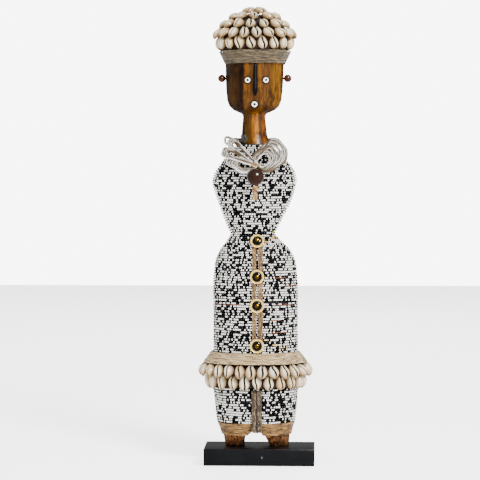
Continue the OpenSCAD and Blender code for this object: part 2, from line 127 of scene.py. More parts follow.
def start_material(name, **shader_values):
    material = bpy.data.materials.new(name)
    material.use_nodes = True
    tree = material.node_tree
    shader = tree.nodes["Principled BSDF"]
    for key, value in shader_values.items():
        shader.inputs[key.replace("_", " ")].default_value = value
    place = add(tree, "ShaderNodeTexCoord").outputs["Object"]
    return material, tree, shader, place


def ramp(tree, factor, stops):
    node = add(tree, "ShaderNodeValToRGB", {"Fac": factor})
    elements = node.color_ramp.elements
    for at, colour in stops[2:]:
        elements.new(at)
    for element, (at, colour) in zip(elements, sorted(stops)):
        element.position = at
        element.color = linear(colour)
    return node.outputs["Color"]


def mix(tree, factor, a, b, blend="MIX"):
    node = add(tree, "ShaderNodeMix", data_type="RGBA", blend_type=blend)
    for socket, value in ((0, factor), (6, a), (7, b)):
        if isinstance(value, bpy.types.NodeSocket):
            tree.links.new(value, node.inputs[socket])
        elif isinstance(value, str):
            node.inputs[socket].default_value = linear(value)
        else:
            node.inputs[socket].default_value = value
    return node.outputs[2]


def noise(tree, place, per_metre, stretch=(1, 1, 1), detail=3, roughness=0.5):
    scaled = add(tree, "ShaderNodeMapping", {"Vector": place, "Scale": [per_metre * s for s in stretch]})
    return add(
        tree, "ShaderNodeTexNoise",
        {"Vector": scaled.outputs[0], "Scale": 1, "Detail": detail, "Roughness": roughness},
    ).outputs["Fac"]


def bump(tree, shader, height, distance, strength=1):
    node = add(tree, "ShaderNodeBump", {"Height": height, "Distance": distance, "Strength": strength})
    tree.links.new(node.outputs[0], shader.inputs["Normal"])


def marks_of(tree):
    attribute = add(tree, "ShaderNodeAttribute", attribute_name="marks")
    return add(tree, "ShaderNodeSeparateColor", {"Color": attribute.outputs["Color"]}).outputs


def two_shades(name, light, dark, per_metre, **shader_values):
    """A finished material with one shade in soft patches on another."""
    material, tree, shader, place = start_material(name, **shader_values)
    paint(tree, shader, mix(tree, noise(tree, place, per_metre), light, dark))
    return material


# %% [markdown]
# ## Light
# A studio table: one large soft light high at the right and in front, a weaker one at the left,
# one behind, and a white paper floor under a pale sky. Shiny things see a darker room than matt things
# do, as they would between black flags, so that dark glass and lacquer keep their depth.

# %% Lights, sky and floor
def area_light(name, place, target, size, watts, colour=(1, 1, 1), glossy=True):
    data = bpy.data.lights.new(name, "AREA")
    data.shape = "SQUARE"
    data.size = size
    data.energy = watts
    data.color = colour
    light = in_scene(name, data)
    light.location = place
    light.rotation_euler = (Vector(target) - Vector(place)).to_track_quat("-Z", "Y").to_euler()
    light.visible_glossy = glossy


area_light("key_light", (1.3, -2.1, 2.1), (0, 0, 0.32), 0.8, 215, (1, 0.99, 0.97))
area_light("fill_light", (-2.2, -1.7, 1.0), (0, 0, 0.3), 1.3, 20, (0.98, 0.99, 1), glossy=False)
area_light("back_light", (0.2, 2.4, 2.2), (0, 0, 0.3), 1.6, 70, glossy=False)
sky = world.node_tree
ray = add(sky, "ShaderNodeLightPath").outputs
seen = calc(sky, "MULTIPLY", ray["Is Camera Ray"], 7.0)
held_back = calc(sky, "MULTIPLY", ray["Is Glossy Ray"], 0.5)
even = calc(sky, "SUBTRACT", 0.75, held_back)
strength = calc(sky, "ADD", even, seen)
sky.nodes["Background"].inputs["Color"].default_value = (1, 1, 1, 1)
sky.links.new(strength, sky.nodes["Background"].inputs["Strength"])
paper, tree, shader, place = start_material(
    "matt_paper_floor", Roughness=0.9, Specular_IOR_Level=0.1, Emission_Color=(1, 1, 1, 1),
    Emission_Strength=2.4
)
shade = mix(tree, noise(tree, place, 4), "#fafafa", "#fefefe")
paint(tree, shader, shade)
bpy.ops.mesh.primitive_plane_add(size=8, location=(0, 0, -0.0002))
floor = bpy.context.object
floor.name = "paper_floor"
bpy.ops.object.transform_apply(location=True)
floor.data.materials.append(paper)
floor.visible_glossy = False
print("floor laid")

# %% [markdown]
# ## Helpers for shapes
# Most of what is seen here is one small thing repeated: beads on a string, turns of twine, shells. So a
# small set of helpers does the handling: they finish an object and give it its body and slot, copy a
# prototype to many places inside one mesh, sweep a twine along a path, and measure where a CAD piece
# lies and how far out its surface is. `marks` is a colour on the points that tells a material where
# painted shade goes (in a groove, on a rim, on a bead's ends and back) and where a chance tint is.

# %% Select and finish a piece
def only(obj):
    """Selects one object alone and makes it the active one."""
    bpy.ops.object.select_all(action="DESELECT")
    obj.select_set(True)
    bpy.context.view_layer.objects.active = obj


def finish_piece(obj, material, body="figure", stands_for=(), smooth_angle=None):
    mesh = bmesh.new()
    mesh.from_mesh(obj.data)
    if mesh.calc_volume(signed=True) < 0:
        bmesh.ops.reverse_faces(mesh, faces=mesh.faces)
        mesh.to_mesh(obj.data)
        print("turned outwards:", obj.name)
    mesh.free()
    obj.data.materials.clear()
    obj.data.materials.append(material)
    if smooth_angle is None:
        obj.data.shade_smooth()
    else:
        only(obj)
        bpy.ops.object.shade_smooth_by_angle(angle=math.radians(smooth_angle))
        obj.select_set(False)
    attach(obj, body)
    if stands_for:
        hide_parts(*stands_for)
    obj.data.calc_loop_triangles()
    print(obj.name, len(obj.data.loop_triangles), "triangles")
    return obj


def piece_from(name, shape, material, body="figure", stands_for=(), smooth_angle=None):
    points, faces, marks = shape
    mesh = bpy.data.meshes.new(name)
    mesh.from_pydata(points.tolist(), [], faces)
    if marks is not None:
        colours = np.ones((len(points), 4), np.float32)
        colours[:, :3] = marks
        mesh.attributes.new("marks", "FLOAT_COLOR", "POINT").data.foreach_set("color", colours.ravel())
    mesh.validate()
    return finish_piece(in_scene(name, mesh), material, body, stands_for, smooth_angle)


# %% Rows of vectors and paths
def unit(rows):
    """Every row of a table of vectors, brought to length one."""
    return rows / np.linalg.norm(rows, axis=1)[:, None]


def way_along(path):
    """How far each point of a path is from its start, along it."""
    return np.concatenate([[0], np.cumsum(np.linalg.norm(np.diff(path, axis=0), axis=1))])


def points_at(distances, travelled, path):
    """The points that lie at some distances along a path."""
    return np.stack([np.interp(distances, travelled, path[:, i]) for i in range(3)], -1)


# %% Join shapes and skin rings
def joined(shapes):
    points, faces, marks, start = [], [], [], 0
    for p, f, m in shapes:
        points.append(p)
        marks.append(np.zeros((len(p), 3)) if m is None else m)
        faces += [[i + start for i in face] for face in f]
        start += len(p)
    return np.vstack(points), faces, np.vstack(marks)


def rings_to_faces(ring_count, side_count, closed=False):
    """Quads between rings of points, and a cap at each end unless the last ring meets the first."""
    last = ring_count if closed else ring_count - 1
    r, k = np.meshgrid(np.arange(last), np.arange(side_count), indexing="ij")
    a = r * side_count + k
    b = r * side_count + (k + 1) % side_count
    up = side_count * ((r + 1) % ring_count)
    c = up + (k + 1) % side_count
    d = up + k
    faces = np.stack([a, b, c, d], -1).reshape(-1, 4).tolist()
    if not closed:
        faces.append(list(range(side_count))[::-1])
        faces.append([(ring_count - 1) * side_count + i for i in range(side_count)])
    return faces


# %% Sweep a twine along a path
def sweep(path, radius, sides=8, plies=0, lay=0.003, depth=0.3, closed=False, up=(0, 0, 1)):
    """A round or laid twine along a path. plies is the number of strands seen round it, lay their pitch."""
    path = np.asarray(path, float)
    along = (np.roll(path, -1, 0) - np.roll(path, 1, 0)) if closed else np.gradient(path, axis=0)
    along = unit(along)
    up = np.broadcast_to(np.asarray(up, float), path.shape)
    normal = unit(up - along * (up * along).sum(1)[:, None])
    side = np.cross(along, normal)
    travelled = way_along(path)
    turn = np.arange(sides) * 2 * np.pi / sides
    crest = np.ones((len(path), sides))
    if plies:
        crest = 0.5 + 0.5 * np.cos(plies * turn[None] - 2 * np.pi * travelled[:, None] / lay)
    thick = np.broadcast_to(np.asarray(radius, float).reshape(-1, 1), (len(path), 1))
    reach = thick * (1 - depth * (1 - crest))
    points = (
        path[:, None]
        + (reach * np.cos(turn))[..., None] * normal[:, None]
        + (reach * np.sin(turn))[..., None] * side[:, None]
    )
    chance = np.repeat(rng.random(len(path))[:, None], sides, 1)
    # Red marks the lay between the plies, where the twine materials paint shade; blue is a chance tint per
    # ring.
    marks = np.stack([1 - crest, np.zeros_like(crest), chance], -1).reshape(-1, 3)
    return points.reshape(-1, 3), rings_to_faces(len(path), sides, closed), marks


# %% Copy a prototype to many places
def stamped(prototype, places):
    """Copies of a prototype inside one mesh: places holds one 3x4 matrix (axes and origin) per copy."""
    points, faces, marks = prototype
    places = np.asarray(places, float)
    out = np.einsum("nij,vj->nvi", places[:, :, :3], points) + places[:, None, :, 3]
    count = len(points)
    all_faces = []
    by_size = {}
    for face in faces:
        by_size.setdefault(len(face), []).append(face)
    for size, group in by_size.items():
        group = np.asarray(group)
        shifted = group[None] + (np.arange(len(places)) * count)[:, None, None]
        all_faces += shifted.reshape(-1, size).tolist()
    base = np.zeros((count, 3)) if marks is None else marks
    all_marks = np.repeat(base[None], len(places), 0).copy()
    all_marks[:, :, 2] = rng.random(len(places))[:, None]
    return out.reshape(-1, 3), all_faces, all_marks.reshape(-1, 3)


# %% Smooth curves, and places on the doll
def smooth_curve(points, step):
    """A smooth curve through a few points, with its points evenly spaced."""
    p = np.asarray(points, float)
    p = np.vstack([2 * p[0] - p[1], p, 2 * p[-1] - p[-2]])
    out = []
    for i in range(1, len(p) - 2):
        t = np.linspace(0, 1, 24, endpoint=False)[:, None]
        out.append(0.5 * (2 * p[i] + (p[i + 1] - p[i - 1]) * t + (2 * p[i - 1] - 5 * p[i] + 4 * p[i + 1]
                   - p[i + 2]) * t ** 2 + (3 * p[i] - p[i - 1] - 3 * p[i + 1] + p[i + 2]) * t ** 3))
    out = np.vstack(out + [p[-2][None]])
    travelled = way_along(out)
    at = np.linspace(0, travelled[-1], max(3, int(round(travelled[-1] / step)) + 1))
    return points_at(at, travelled, out)


AROUND = 144
TURN = np.arange(AROUND) * 2 * np.pi / AROUND
FAR_OUT = 0.2


def own(x, y, h):
    """A place on the doll, in metres: across, front to back, and height above the soles, in millimetres."""
    return np.array([AXIS.x + x * MM, AXIS.y + y * MM, SOLES + h * MM])


# %% Measure the separate solids of a CAD node
def islands(node):
    """The solids of a CAD node: centre, axes from longest to thinnest, lowest and highest along them."""
    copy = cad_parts[node].data.copy()
    obj = in_scene("measured_copy", copy)
    only(obj)
    bpy.ops.object.mode_set(mode="EDIT")
    bpy.ops.mesh.select_all(action="SELECT")
    bpy.ops.mesh.remove_doubles(threshold=SAME_PLACE)
    bpy.ops.object.mode_set(mode="OBJECT")
    parent = list(range(len(copy.vertices)))

    def root(i):
        while parent[i] != i:
            parent[i] = parent[parent[i]]
            i = parent[i]
        return i

    for edge in copy.edges:
        parent[root(edge.vertices[0])] = root(edge.vertices[1])
    groups = {}
    for vertex in copy.vertices:
        groups.setdefault(root(vertex.index), []).append(tuple(vertex.co))
    bpy.data.objects.remove(obj)
    bpy.data.meshes.remove(copy)
    found = []
    for points in groups.values():
        points = np.array(points)
        centre = (points.max(0) + points.min(0)) / 2
        vectors = np.linalg.eigh(np.cov((points - points.mean(0)).T))[1]
        axes = vectors[:, ::-1].T
        reach = (points - centre) @ axes.T
        found.append((centre, axes, reach.min(0), reach.max(0), points))
    return found


# %% Measure the outside of a CAD node
def outline(node, height, centre=None):
    """How far the outside of a CAD node is from its middle, at one height, all the way round."""
    if node not in outline.trees:
        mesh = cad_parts[node].data
        mesh.calc_loop_triangles()
        outline.trees[node] = BVHTree.FromPolygons(
            [v.co for v in mesh.vertices], [t.vertices for t in mesh.loop_triangles]
        )
    middle = centre or AXIS
    reach = np.zeros(AROUND)
    for i in range(AROUND):
        a = 2 * math.pi * i / AROUND
        away = Vector((math.cos(a), math.sin(a), 0))
        start = Vector((middle[0], middle[1], height)) + away * FAR_OUT
        hit = outline.trees[node].ray_cast(start, -away)
        reach[i] = FAR_OUT - hit[3] if hit[0] else np.nan
    if np.isnan(reach).any():
        good = ~np.isnan(reach)
        if not good.any():
            return None
        index = np.arange(AROUND)
        reach = np.interp(index, index[good], reach[good], period=AROUND)
    wide = np.concatenate([reach[-4:], reach, reach[:4]])
    weights = np.array([1, 2, 4, 6, 7, 6, 4, 2, 1.0])
    return np.convolve(wide, weights / weights.sum(), "valid")


outline.trees = {}
print("helpers ready")

# %% [markdown]
# ## Turned shapes
# Beads, discs, pins and buttons are round about one axis, as if from a lathe. Each starts as a circle,
# which is extruded along the axis and resized at every step of its profile, then closed at both tips, or
# bridged into a bored ring. These are the steps that one would do by hand in edit mode.

# %% A turned shape from a circle
def turned(profile, sides=40, axis=2, origin=(0, 0, 0), directions=None):
    """Extrudes a circle through (distance from axis, place along axis) steps. Ends on the axis are closed."""
    bpy.ops.object.select_all(action="DESELECT")
    tipped = profile[0][0] < 1e-9
    rings = profile[1:-1] if tipped else profile
    bpy.ops.mesh.primitive_circle_add(vertices=sides, radius=rings[0][0])
    shape = bpy.context.object
    bpy.ops.object.mode_set(mode="EDIT")
    bpy.ops.mesh.select_mode(type="VERT")
    bpy.ops.mesh.select_all(action="SELECT")
    bpy.ops.transform.translate(value=(0, 0, rings[0][1]))
    for (wide, place), (next_wide, next_place) in zip(rings, rings[1:]):
        bpy.ops.mesh.extrude_region_move(TRANSFORM_OT_translate={"value": (0, 0, next_place - place)})
        grown = next_wide / wide
        bpy.ops.transform.resize(value=(grown, grown, 1), center_override=(0, 0, 0))
    if tipped:
        for tip, ring in ((profile[-1], rings[-1]), (profile[0], rings[0])):
            bpy.ops.mesh.extrude_region_move(TRANSFORM_OT_translate={"value": (0, 0, tip[1] - ring[1])})
            bpy.ops.mesh.merge(type="CENTER")
            bpy.ops.mesh.select_all(action="DESELECT")
            bpy.ops.mesh.select_non_manifold()
    else:
        bpy.ops.mesh.select_all(action="DESELECT")
        bpy.ops.mesh.select_non_manifold()
        bpy.ops.mesh.bridge_edge_loops()
    bpy.ops.mesh.select_all(action="SELECT")
    bpy.ops.mesh.normals_make_consistent(inside=False)
    bpy.ops.object.mode_set(mode="OBJECT")
    points = np.array([v.co[:] for v in shape.data.vertices], float)
    faces = [list(face.vertices) for face in shape.data.polygons]
    bpy.data.objects.remove(shape)
    if directions is not None:
        points = points @ np.asarray(directions, float)
        if np.linalg.det(np.asarray(directions, float)) < 0:
            faces = [face[::-1] for face in faces]
    elif axis == 0:
        points = points[:, [2, 0, 1]]
    elif axis == 1:
        points = points[:, [1, 2, 0]]
    return points + np.asarray(origin, float), faces, None


# %% [markdown]
# ## Strings of glass seed beads
# The figure is wound round and round with thread on which small glass beads are strung, so a bead lies
# with its hole along the row. A seed bead is a slice of glass tube tumbled until its edges are round:
# 2.6 mm across and 2.2 mm long here. One bead is modelled: a circle drawn out to a short tube whose ends
# are narrowed. Its copies follow the outside of the wound part row by row. Black and white come in short
# runs, as the stringer picked them up, so a chance run length gives the pattern and a slow wave makes
# some patches darker.

# %% One seed bead
ROW_PITCH = 3.45 * MM
BEAD_ACROSS = 2.62 * MM
BEAD_LONG = 2.2 * MM
BEAD_GAP = 0.14 * MM
ROW_WAVE = 0.7 * MM
STEPS_ROUND = 720


def bead_prototype(sides=8):
    half, wide = BEAD_LONG / 2, BEAD_ACROSS / 2
    profile = [(0, -half), (0.5 * wide, -half), (wide, -0.55 * half), (wide, 0.55 * half),
               (0.5 * wide, half), (0, half)]
    points, faces = turned(profile, sides, 0)[:2]
    # The red mark is 1 on the bead's ends and grows towards its back, where neighbours and the body put it in
    # shade; the glass paints shade there.
    turn = np.arctan2(points[:, 2], points[:, 1])
    painted_shade_share = np.where(np.abs(points[:, 0]) > 0.9 * half, 1, np.clip(1 - np.cos(turn), 0, None) ** 1.5)
    marks = np.stack([np.clip(painted_shade_share, 0, 1), 0 * painted_shade_share, 0 * painted_shade_share], -1)
    return points, faces, marks


seed_bead = bead_prototype()
print("bead:", len(seed_bead[0]), "points")

# %% Glass for the beads
def glass_bead(name, colour, shade, painted_shade, roughness, gloss=0.5):
    # Drawn opaque glass: even colour right through, a smooth skin, and painted shade on each bead's ends
    # and back, at the gaps and the holes.
    material, tree, shader, place = start_material(name, Roughness=roughness, IOR=1.5,
                                                   Specular_IOR_Level=gloss)
    marks = marks_of(tree)
    tone = mix(tree, marks["Blue"], colour, shade)
    tone = mix(tree, noise(tree, place, 900), tone, shade)
    paint(tree, shader, mix(tree, marks["Red"], tone, painted_shade))
    bump(tree, shader, noise(tree, place, 1500, detail=1), 0.0001, 0.35)
    return material


# The third colour of each glass is the painted shade on the bead's ends and back.
white_glass = glass_bead("opaque_white_glass", "#fcfbf8", "#efece6", "#2b2620", 0.25)
black_glass = glass_bead("opaque_black_glass", "#030304", "#090a0d", "#010101", 0.14, 0.3)
hank_glass = glass_bead("strung_white_glass", "#ffffff", "#f6f4ee", "#4c3f2e", 0.28)
cream_glass = glass_bead("opaque_cream_glass", "#e6cf9a", "#cfae70", "#2b1f10", 0.25)
lime_glass = glass_bead("opaque_lime_glass", "#c8cf2a", "#a9ae1c", "#2c2c08", 0.25)
print("five glasses")

# %% [markdown]
# ### Winding the rows
# The rows follow the outside of the CAD wraps, found by looking from outside towards the middle at each
# height. Rows are spaced along the slope, so that on the shoulders they still lie side by side. Each row
# waves a little and each bead is a little turned and shifted, because a hand wound them.

# %% Wind a wrap
def wave(a, height, seed):
    return (
        0.5 * math.sin(2 * a + seed + height * 90) + 0.3 * math.sin(3 * a + 2.1 * seed + height * 160)
        + 0.2 * math.sin(7 * a + 4.7 * seed)
    )


def wound_rows(node, low, high, seed, centre=None, share=0.52):
    """Places of the beads of one wrap, with 1 for a white one and 0 for a black one."""
    heights = np.linspace(low - 0.004, high + 0.004, 60)
    middle = centre or AXIS
    sampled = []
    for z in heights:
        ring = outline(node, z, centre=middle)
        sampled.append(ring if ring is not None else (sampled[-1] if sampled else None))
    first = next(r for r in sampled if r is not None)
    sampled = np.array([first if r is None else r for r in sampled])
    mean = sampled.mean(1)
    slope_of = np.gradient(mean, heights)
    places, colours = [], []
    fine = np.linspace(0, 2 * np.pi, STEPS_ROUND, endpoint=False)
    columns = np.arange(STEPS_ROUND)
    z = low + BEAD_ACROSS / 2
    row = 0
    white = True
    while z < high - 0.35 * BEAD_ACROSS:
        slope = float(np.interp(z, heights, slope_of))
        tilt = 1 / math.sqrt(1 + slope * slope)
        level = z + ROW_WAVE * np.array([wave(a, z, seed) for a in fine])
        ring = np.array([np.interp(fine, np.append(TURN, 2 * np.pi), np.append(r, r[0])) for r in sampled])
        at = np.clip(np.interp(level, heights, np.arange(len(heights))), 0, len(heights) - 1.001)
        lower = at.astype(int)
        part = at - lower
        reach = ring[lower, columns] * (1 - part) + ring[lower + 1, columns] * part
        reach = reach - BEAD_ACROSS / 2 * tilt
        level = level + BEAD_ACROSS / 2 * tilt * slope
        path = np.stack([middle[0] + reach * np.cos(fine), middle[1] + reach * np.sin(fine), level], -1)
        path = np.vstack([path, path[:1]])
        travelled = way_along(path)
        count = int(travelled[-1] / (BEAD_LONG + BEAD_GAP))
        spots = (np.arange(count) + rng.random()) * travelled[-1] / count % travelled[-1]
        spots = spots + rng.normal(0, 0.07 * MM, count)
        centres = points_at(spots, travelled, path)
        # The last bead of a row may look past the end of its path, where nothing lies ahead.
        ahead = points_at(spots + 0.4 * MM, travelled, path) - centres
        along = ahead / (np.linalg.norm(ahead, axis=1)[:, None] + 1e-12)
        along = unit(along + rng.normal(0, 0.05, along.shape))
        outward = centres - np.array([middle[0], middle[1], 0])
        outward[:, 2] = 0
        outward = unit(outward - along * (outward * along).sum(1)[:, None])
        third = np.cross(along, outward)
        size = rng.normal(1, 0.035, count).clip(0.9, 1.06)
        centres = centres + outward * rng.normal(0, 0.12 * MM, count)[:, None]
        frames = np.stack([along, outward, third], -1) * size[:, None, None]
        places.append(np.concatenate([frames, centres[..., None]], -1))
        for c in centres:
            a = math.atan2(c[1] - middle[1], c[0] - middle[0])
            patch = math.sin(2.6 * a + 61 * c[2] + seed) + math.sin(5.3 * a - 143 * c[2] + 2 * seed)
            likely = share + 0.045 * patch
            change = 0.86 * (1 - likely) if white else likely
            if rng.random() < change:
                white = not white
            colours.append(white)
        z += ROW_PITCH * tilt
        row += 1
    return np.concatenate(places), np.array(colours), row


PATCH_REACH = 7 * MM
SHARE_IN_PATCH = 0.75
odd_beads = {"cream": [], "lime": []}


def strung(name, wraps, stands_for, creams=(), limes=()):
    """Makes the white and the black beads of some wraps, each as its own piece, and keeps odd ones aside:
    the white beads of a small patch turn cream, and the one nearest to a place turns lime."""
    places = np.concatenate([w[0] for w in wraps])
    white = np.concatenate([w[1] for w in wraps])
    kept = np.ones(len(places), bool)
    for kind, centres in (("cream", creams), ("lime", limes)):
        for centre in centres:
            away = places[:, :, 3] - own(*centre)
            distance = np.hypot(away[:, 0], away[:, 2] * 2.2)
            distance[(places[:, 1, 3] > AXIS.y) | ~kept] = 1
            near = distance < PATCH_REACH if kind == "cream" else distance == distance.min()
            if kind == "cream":
                near &= white & (rng.random(len(places)) < SHARE_IN_PATCH)
            odd_beads[kind].append(places[near])
            kept &= ~near
    places, white = places[kept], white[kept]
    piece_from(name + "_white_beads", stamped(seed_bead, places[white]), white_glass, stands_for=stands_for)
    piece_from(name + "_black_beads", stamped(seed_bead, places[~white]), black_glass, stands_for=stands_for)


chest_low, chest_high = [c.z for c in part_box("chest_bead_wrap")]
hip_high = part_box("hip_bead_wrap")[1].z
skirt_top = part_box("skirt_band")[1].z
waist_split = 0.5 * (hip_high + skirt_top) - 0.01
chest = wound_rows("chest_bead_wrap", chest_low, chest_high, 0.7)
upper = wound_rows("hip_bead_wrap", waist_split, hip_high, 2.9)
lower = wound_rows("hip_bead_wrap", skirt_top - 0.004, waist_split, 5.1)
strung("chest", [chest], ["chest_bead_wrap"], limes=[(25, 0, 290.5)])
strung("upper_hip", [upper], ["hip_bead_wrap"], creams=[(26, 0, 287), (14, 0, 281)])
strung("lower_hip", [lower], ["hip_bead_wrap"], creams=[(27, 0, 141), (38, 0, 137), (18, 0, 147)])
legs = []
for node, seed in (("left_leg_bead_wrap", 1.3), ("right_leg_bead_wrap", 3.7)):
    bottom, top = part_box(node)
    centre = ((bottom.x + top.x) / 2, (bottom.y + top.y) / 2)
    legs.append(wound_rows(node, bottom.z, top.z, seed, centre=centre, share=0.56))
strung("leg", legs, ["left_leg_bead_wrap", "right_leg_bead_wrap"], limes=[(55.5, 0, 37)])
for kind, glass in (("cream", cream_glass), ("lime", lime_glass)):
    piece_from(kind + "_odd_beads", stamped(seed_bead, np.concatenate(odd_beads[kind])), glass,
               stands_for=["hip_bead_wrap"])
print("rows on chest, upper hip, lower hip, legs:", chest[2], upper[2], lower[2], legs[0][2])

# %% [markdown]
# ## The carved wood
# Head, neck, trunk and feet are one piece of hardwood, cut with an adze, then stained and varnished where
# it shows. Under the beads it is painted near black, as the shade in the gaps between the rows. The head
# is built from a row of ovals, one above another, joined into a skin, and then planed: what stands past a
# flat plane is pushed back on to it, which gives the long facets that the blade left.

# %% Varnished and rough wood
def varnished_wood():
    # Stained hardwood under varnish: warm, streaked along the grain, with a clear wet-looking gloss. Its
    # colour also holds painted light and shade: across the face, under the chin and round the discs.
    material, tree, shader, place = start_material(
        "varnished_hardwood", Roughness=0.36, Specular_IOR_Level=0.2, Coat_Weight=0.1, Coat_Roughness=0.08
    )
    split = add(tree, "ShaderNodeSeparateXYZ", {"Vector": place}).outputs
    bend = calc(tree, "SUBTRACT", noise(tree, place, 30, (1, 1, 0.25)), 0.5)
    shift = calc(tree, "MULTIPLY", bend, 0.022)
    across = calc(tree, "ADD", split["X"], shift)
    # The bands across face and throat are partly stain and partly painted light and shade: darker on the left
    # and at both edges, lighter bands where the facets face the light.
    zone = span(tree, across, -0.050, 0.036)
    face = ramp(tree, zone, [
        (0.0, "#110903"), (1.0, "#211104"), (0.08, "#2b1904"), (0.20, "#3c2504"), (0.29, "#201004"),
        (0.335, "#241304"), (0.365, "#6c4404"), (0.43, "#523203"), (0.52, "#422503"), (0.60, "#734a03"),
        (0.66, "#523103"), (0.78, "#563703"), (0.86, "#754f02"), (0.92, "#492a03"),
    ])
    throat = ramp(tree, zone, [
        (0.0, "#110903"), (1.0, "#180b03"), (0.27, "#180c03"), (0.33, "#3a2403"), (0.46, "#513403"),
        (0.515, "#8f5a02"), (0.585, "#9c6202"), (0.60, "#472a0c"), (0.64, "#4f3415"), (0.68, "#844c03"),
        (0.725, "#452404"), (0.75, "#180b03"),
    ])
    below = span(tree, split["Z"], SOLES + 458 * MM, SOLES + 453 * MM)
    bands = mix(tree, below, face, throat)
    # Painted shade under the chin, on the underside of the head above the neck.
    chin = span(tree, split["Z"], SOLES + 472 * MM, SOLES + 456 * MM, 0.6)
    above_neck = span(tree, split["Z"], SOLES + 452 * MM, SOLES + 457 * MM)
    chin = calc(tree, "MULTIPLY", chin, above_neck)
    bands = mix(tree, chin, bands, "#1c0d03")
    for disc in ("left_eye_disc", "right_eye_disc", "mouth_disc"):
        low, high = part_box(disc)
        near = add(tree, "ShaderNodeVectorMath", {0: place, 1: (low + high) / 2},
                   operation="DISTANCE").outputs["Value"]
        # Painted shade round each eye and mouth disc, darkening the wood next to it.
        disc_shade = span(tree, near, 7.5 * MM, 4 * MM, 0.85)
        bands = mix(tree, disc_shade, bands, "#160a03")
    grain = noise(tree, place, 420, (1, 1, 0.06), detail=6, roughness=0.65)
    streak = ramp(tree, grain, [(0.34, "#4d3a2a"), (0.66, "#ffffff"), (0.5, "#bfae98")])
    colour = mix(tree, 0.8, bands, streak, "MULTIPLY")
    spots = ramp(tree, noise(tree, place, 130, (1, 1, 0.5), detail=4), [(0.36, "#5a3a24"), (0.5, "#ffffff")])
    colour = mix(tree, 0.6, colour, spots, "MULTIPLY")
    paint(tree, shader, colour)
    bump(tree, shader, grain, 0.0003, 0.25)
    return material


def rough_wood():
    # The same wood left from the blade: dull and coarse-grained. Above the feet it is painted near black,
    # as the shade in the gaps between the bead rows.
    material, tree, shader, place = start_material("rough_hardwood", Roughness=0.72)
    split = add(tree, "ShaderNodeSeparateXYZ", {"Vector": place}).outputs
    grain = noise(tree, place, 260, (1, 1, 0.12), detail=6, roughness=0.7)
    feet = ramp(tree, grain, [(0.38, "#180b04"), (0.62, "#96602a"), (0.5, "#5c3412")])
    # Near black above the feet: painted shade for the gaps between the bead rows.
    height = span(tree, split["Z"], 0.044, 0.050)
    paint(tree, shader, mix(tree, height, feet, "#060504"))
    bump(tree, shader, grain, 0.0009, 0.6)
    return material


hardwood = varnished_wood()
plain_wood = rough_wood()
print("two woods")

# %% Carve the head and neck
# height above the soles, half width, depth as a share of it, sideways lean, power of the oval
HEAD_OVALS = [(411, 21.2, 0.92, -0.4, 2), (414, 20.4, 0.92, -0.4, 2), (418.5, 19.2, 0.92, -0.4, 2),
              (425, 17.4, 0.94, -0.5, 2), (438, 16.2, 0.95, -0.7, 2), (449, 15.2, 0.95, -0.8, 2),
              (453, 16.4, 0.92, -0.8, 2), (455.5, 22, 0.88, -0.8, 2.2),
              (458.2, 28, 0.86, -0.7, 2.3), (463.5, 33.9, 0.85, -0.7, 2.4),
              (472, 37.1, 0.85, -0.6, 2.4), (486, 38.5, 0.85, -0.5, 2.4),
              (499, 39.2, 0.85, -0.3, 2.4), (522, 39.7, 0.85, -0.2, 2.4), (535, 38.4, 0.85, 0, 2.4),
              (552, 30, 0.85, 0, 2.2), (562, 18, 0.85, 0, 2), (566, 4, 0.85, 0, 2)]
# the planes that the blade left: direction across and to the front, distance from the axis
FACETS = [(0.06, -1.0, 33.0), (-0.56, -0.83, 35.2), (-0.93, -0.37, 37.6), (0.52, -0.85, 36.6),
          (0.9, -0.43, 37.9)]


def carved_head():
    rows = np.array(HEAD_OVALS)
    heights = np.unique(np.concatenate([np.arange(411, 566, 1.8), rows[:, 0]]))
    sides = 120
    turn = np.arange(sides) * 2 * np.pi / sides
    points = []
    for h in heights:
        half, share, lean, power = [np.interp(h, rows[:, 0], rows[:, i]) for i in (1, 2, 3, 4)]
        c, s = np.cos(turn), np.sin(turn)
        x = half * np.sign(c) * np.abs(c) ** (2 / power)
        y = half * share * np.sign(s) * np.abs(s) ** (2 / power)
        strength = np.clip((h - 456) / 10, 0, 1)
        for nx, ny, limit in FACETS:
            length = math.hypot(nx, ny)
            past = np.maximum(0, (x * nx + y * ny) / length - limit) * strength
            x, y = x - past * nx / length, y - past * ny / length
        oval = [AXIS.x + (x + lean) * MM, AXIS.y + y * MM, np.full(sides, SOLES + h * MM)]
        points.append(np.stack(oval, -1))
    return np.concatenate(points), rings_to_faces(len(heights), sides), None


piece_from("carved_head", carved_head(), hardwood, stands_for=["figure_core"], smooth_angle=24)


# %% Cut the trunk and feet free of the head
def carved_body():
    obj = in_scene("carved_body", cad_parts["figure_core"].data.copy())
    only(obj)
    bpy.ops.object.mode_set(mode="EDIT")
    bpy.ops.mesh.select_all(action="SELECT")
    bpy.ops.mesh.remove_doubles(threshold=SAME_PLACE)
    neck = SOLES + 414 * MM
    bpy.ops.mesh.bisect(plane_co=(0, 0, neck), plane_no=(0, 0, 1), clear_outer=True, use_fill=True)
    bpy.ops.object.mode_set(mode="OBJECT")
    return obj


finish_piece(carved_body(), plain_wood, stands_for=["figure_core"], smooth_angle=40)

# %% [markdown]
# ## The face and the ears
# A strip of near-black wood is let in as the nose, rounded over and thickest at its foot. Eyes and mouth
# are small discs of bone, each held by a dark pin. The ears are turned wooden beads on pegs. The round
# things need only half of their outline, which the turned shape above follows. The nose is a row of
# half-round sections, so that its width and height can change all the way down.

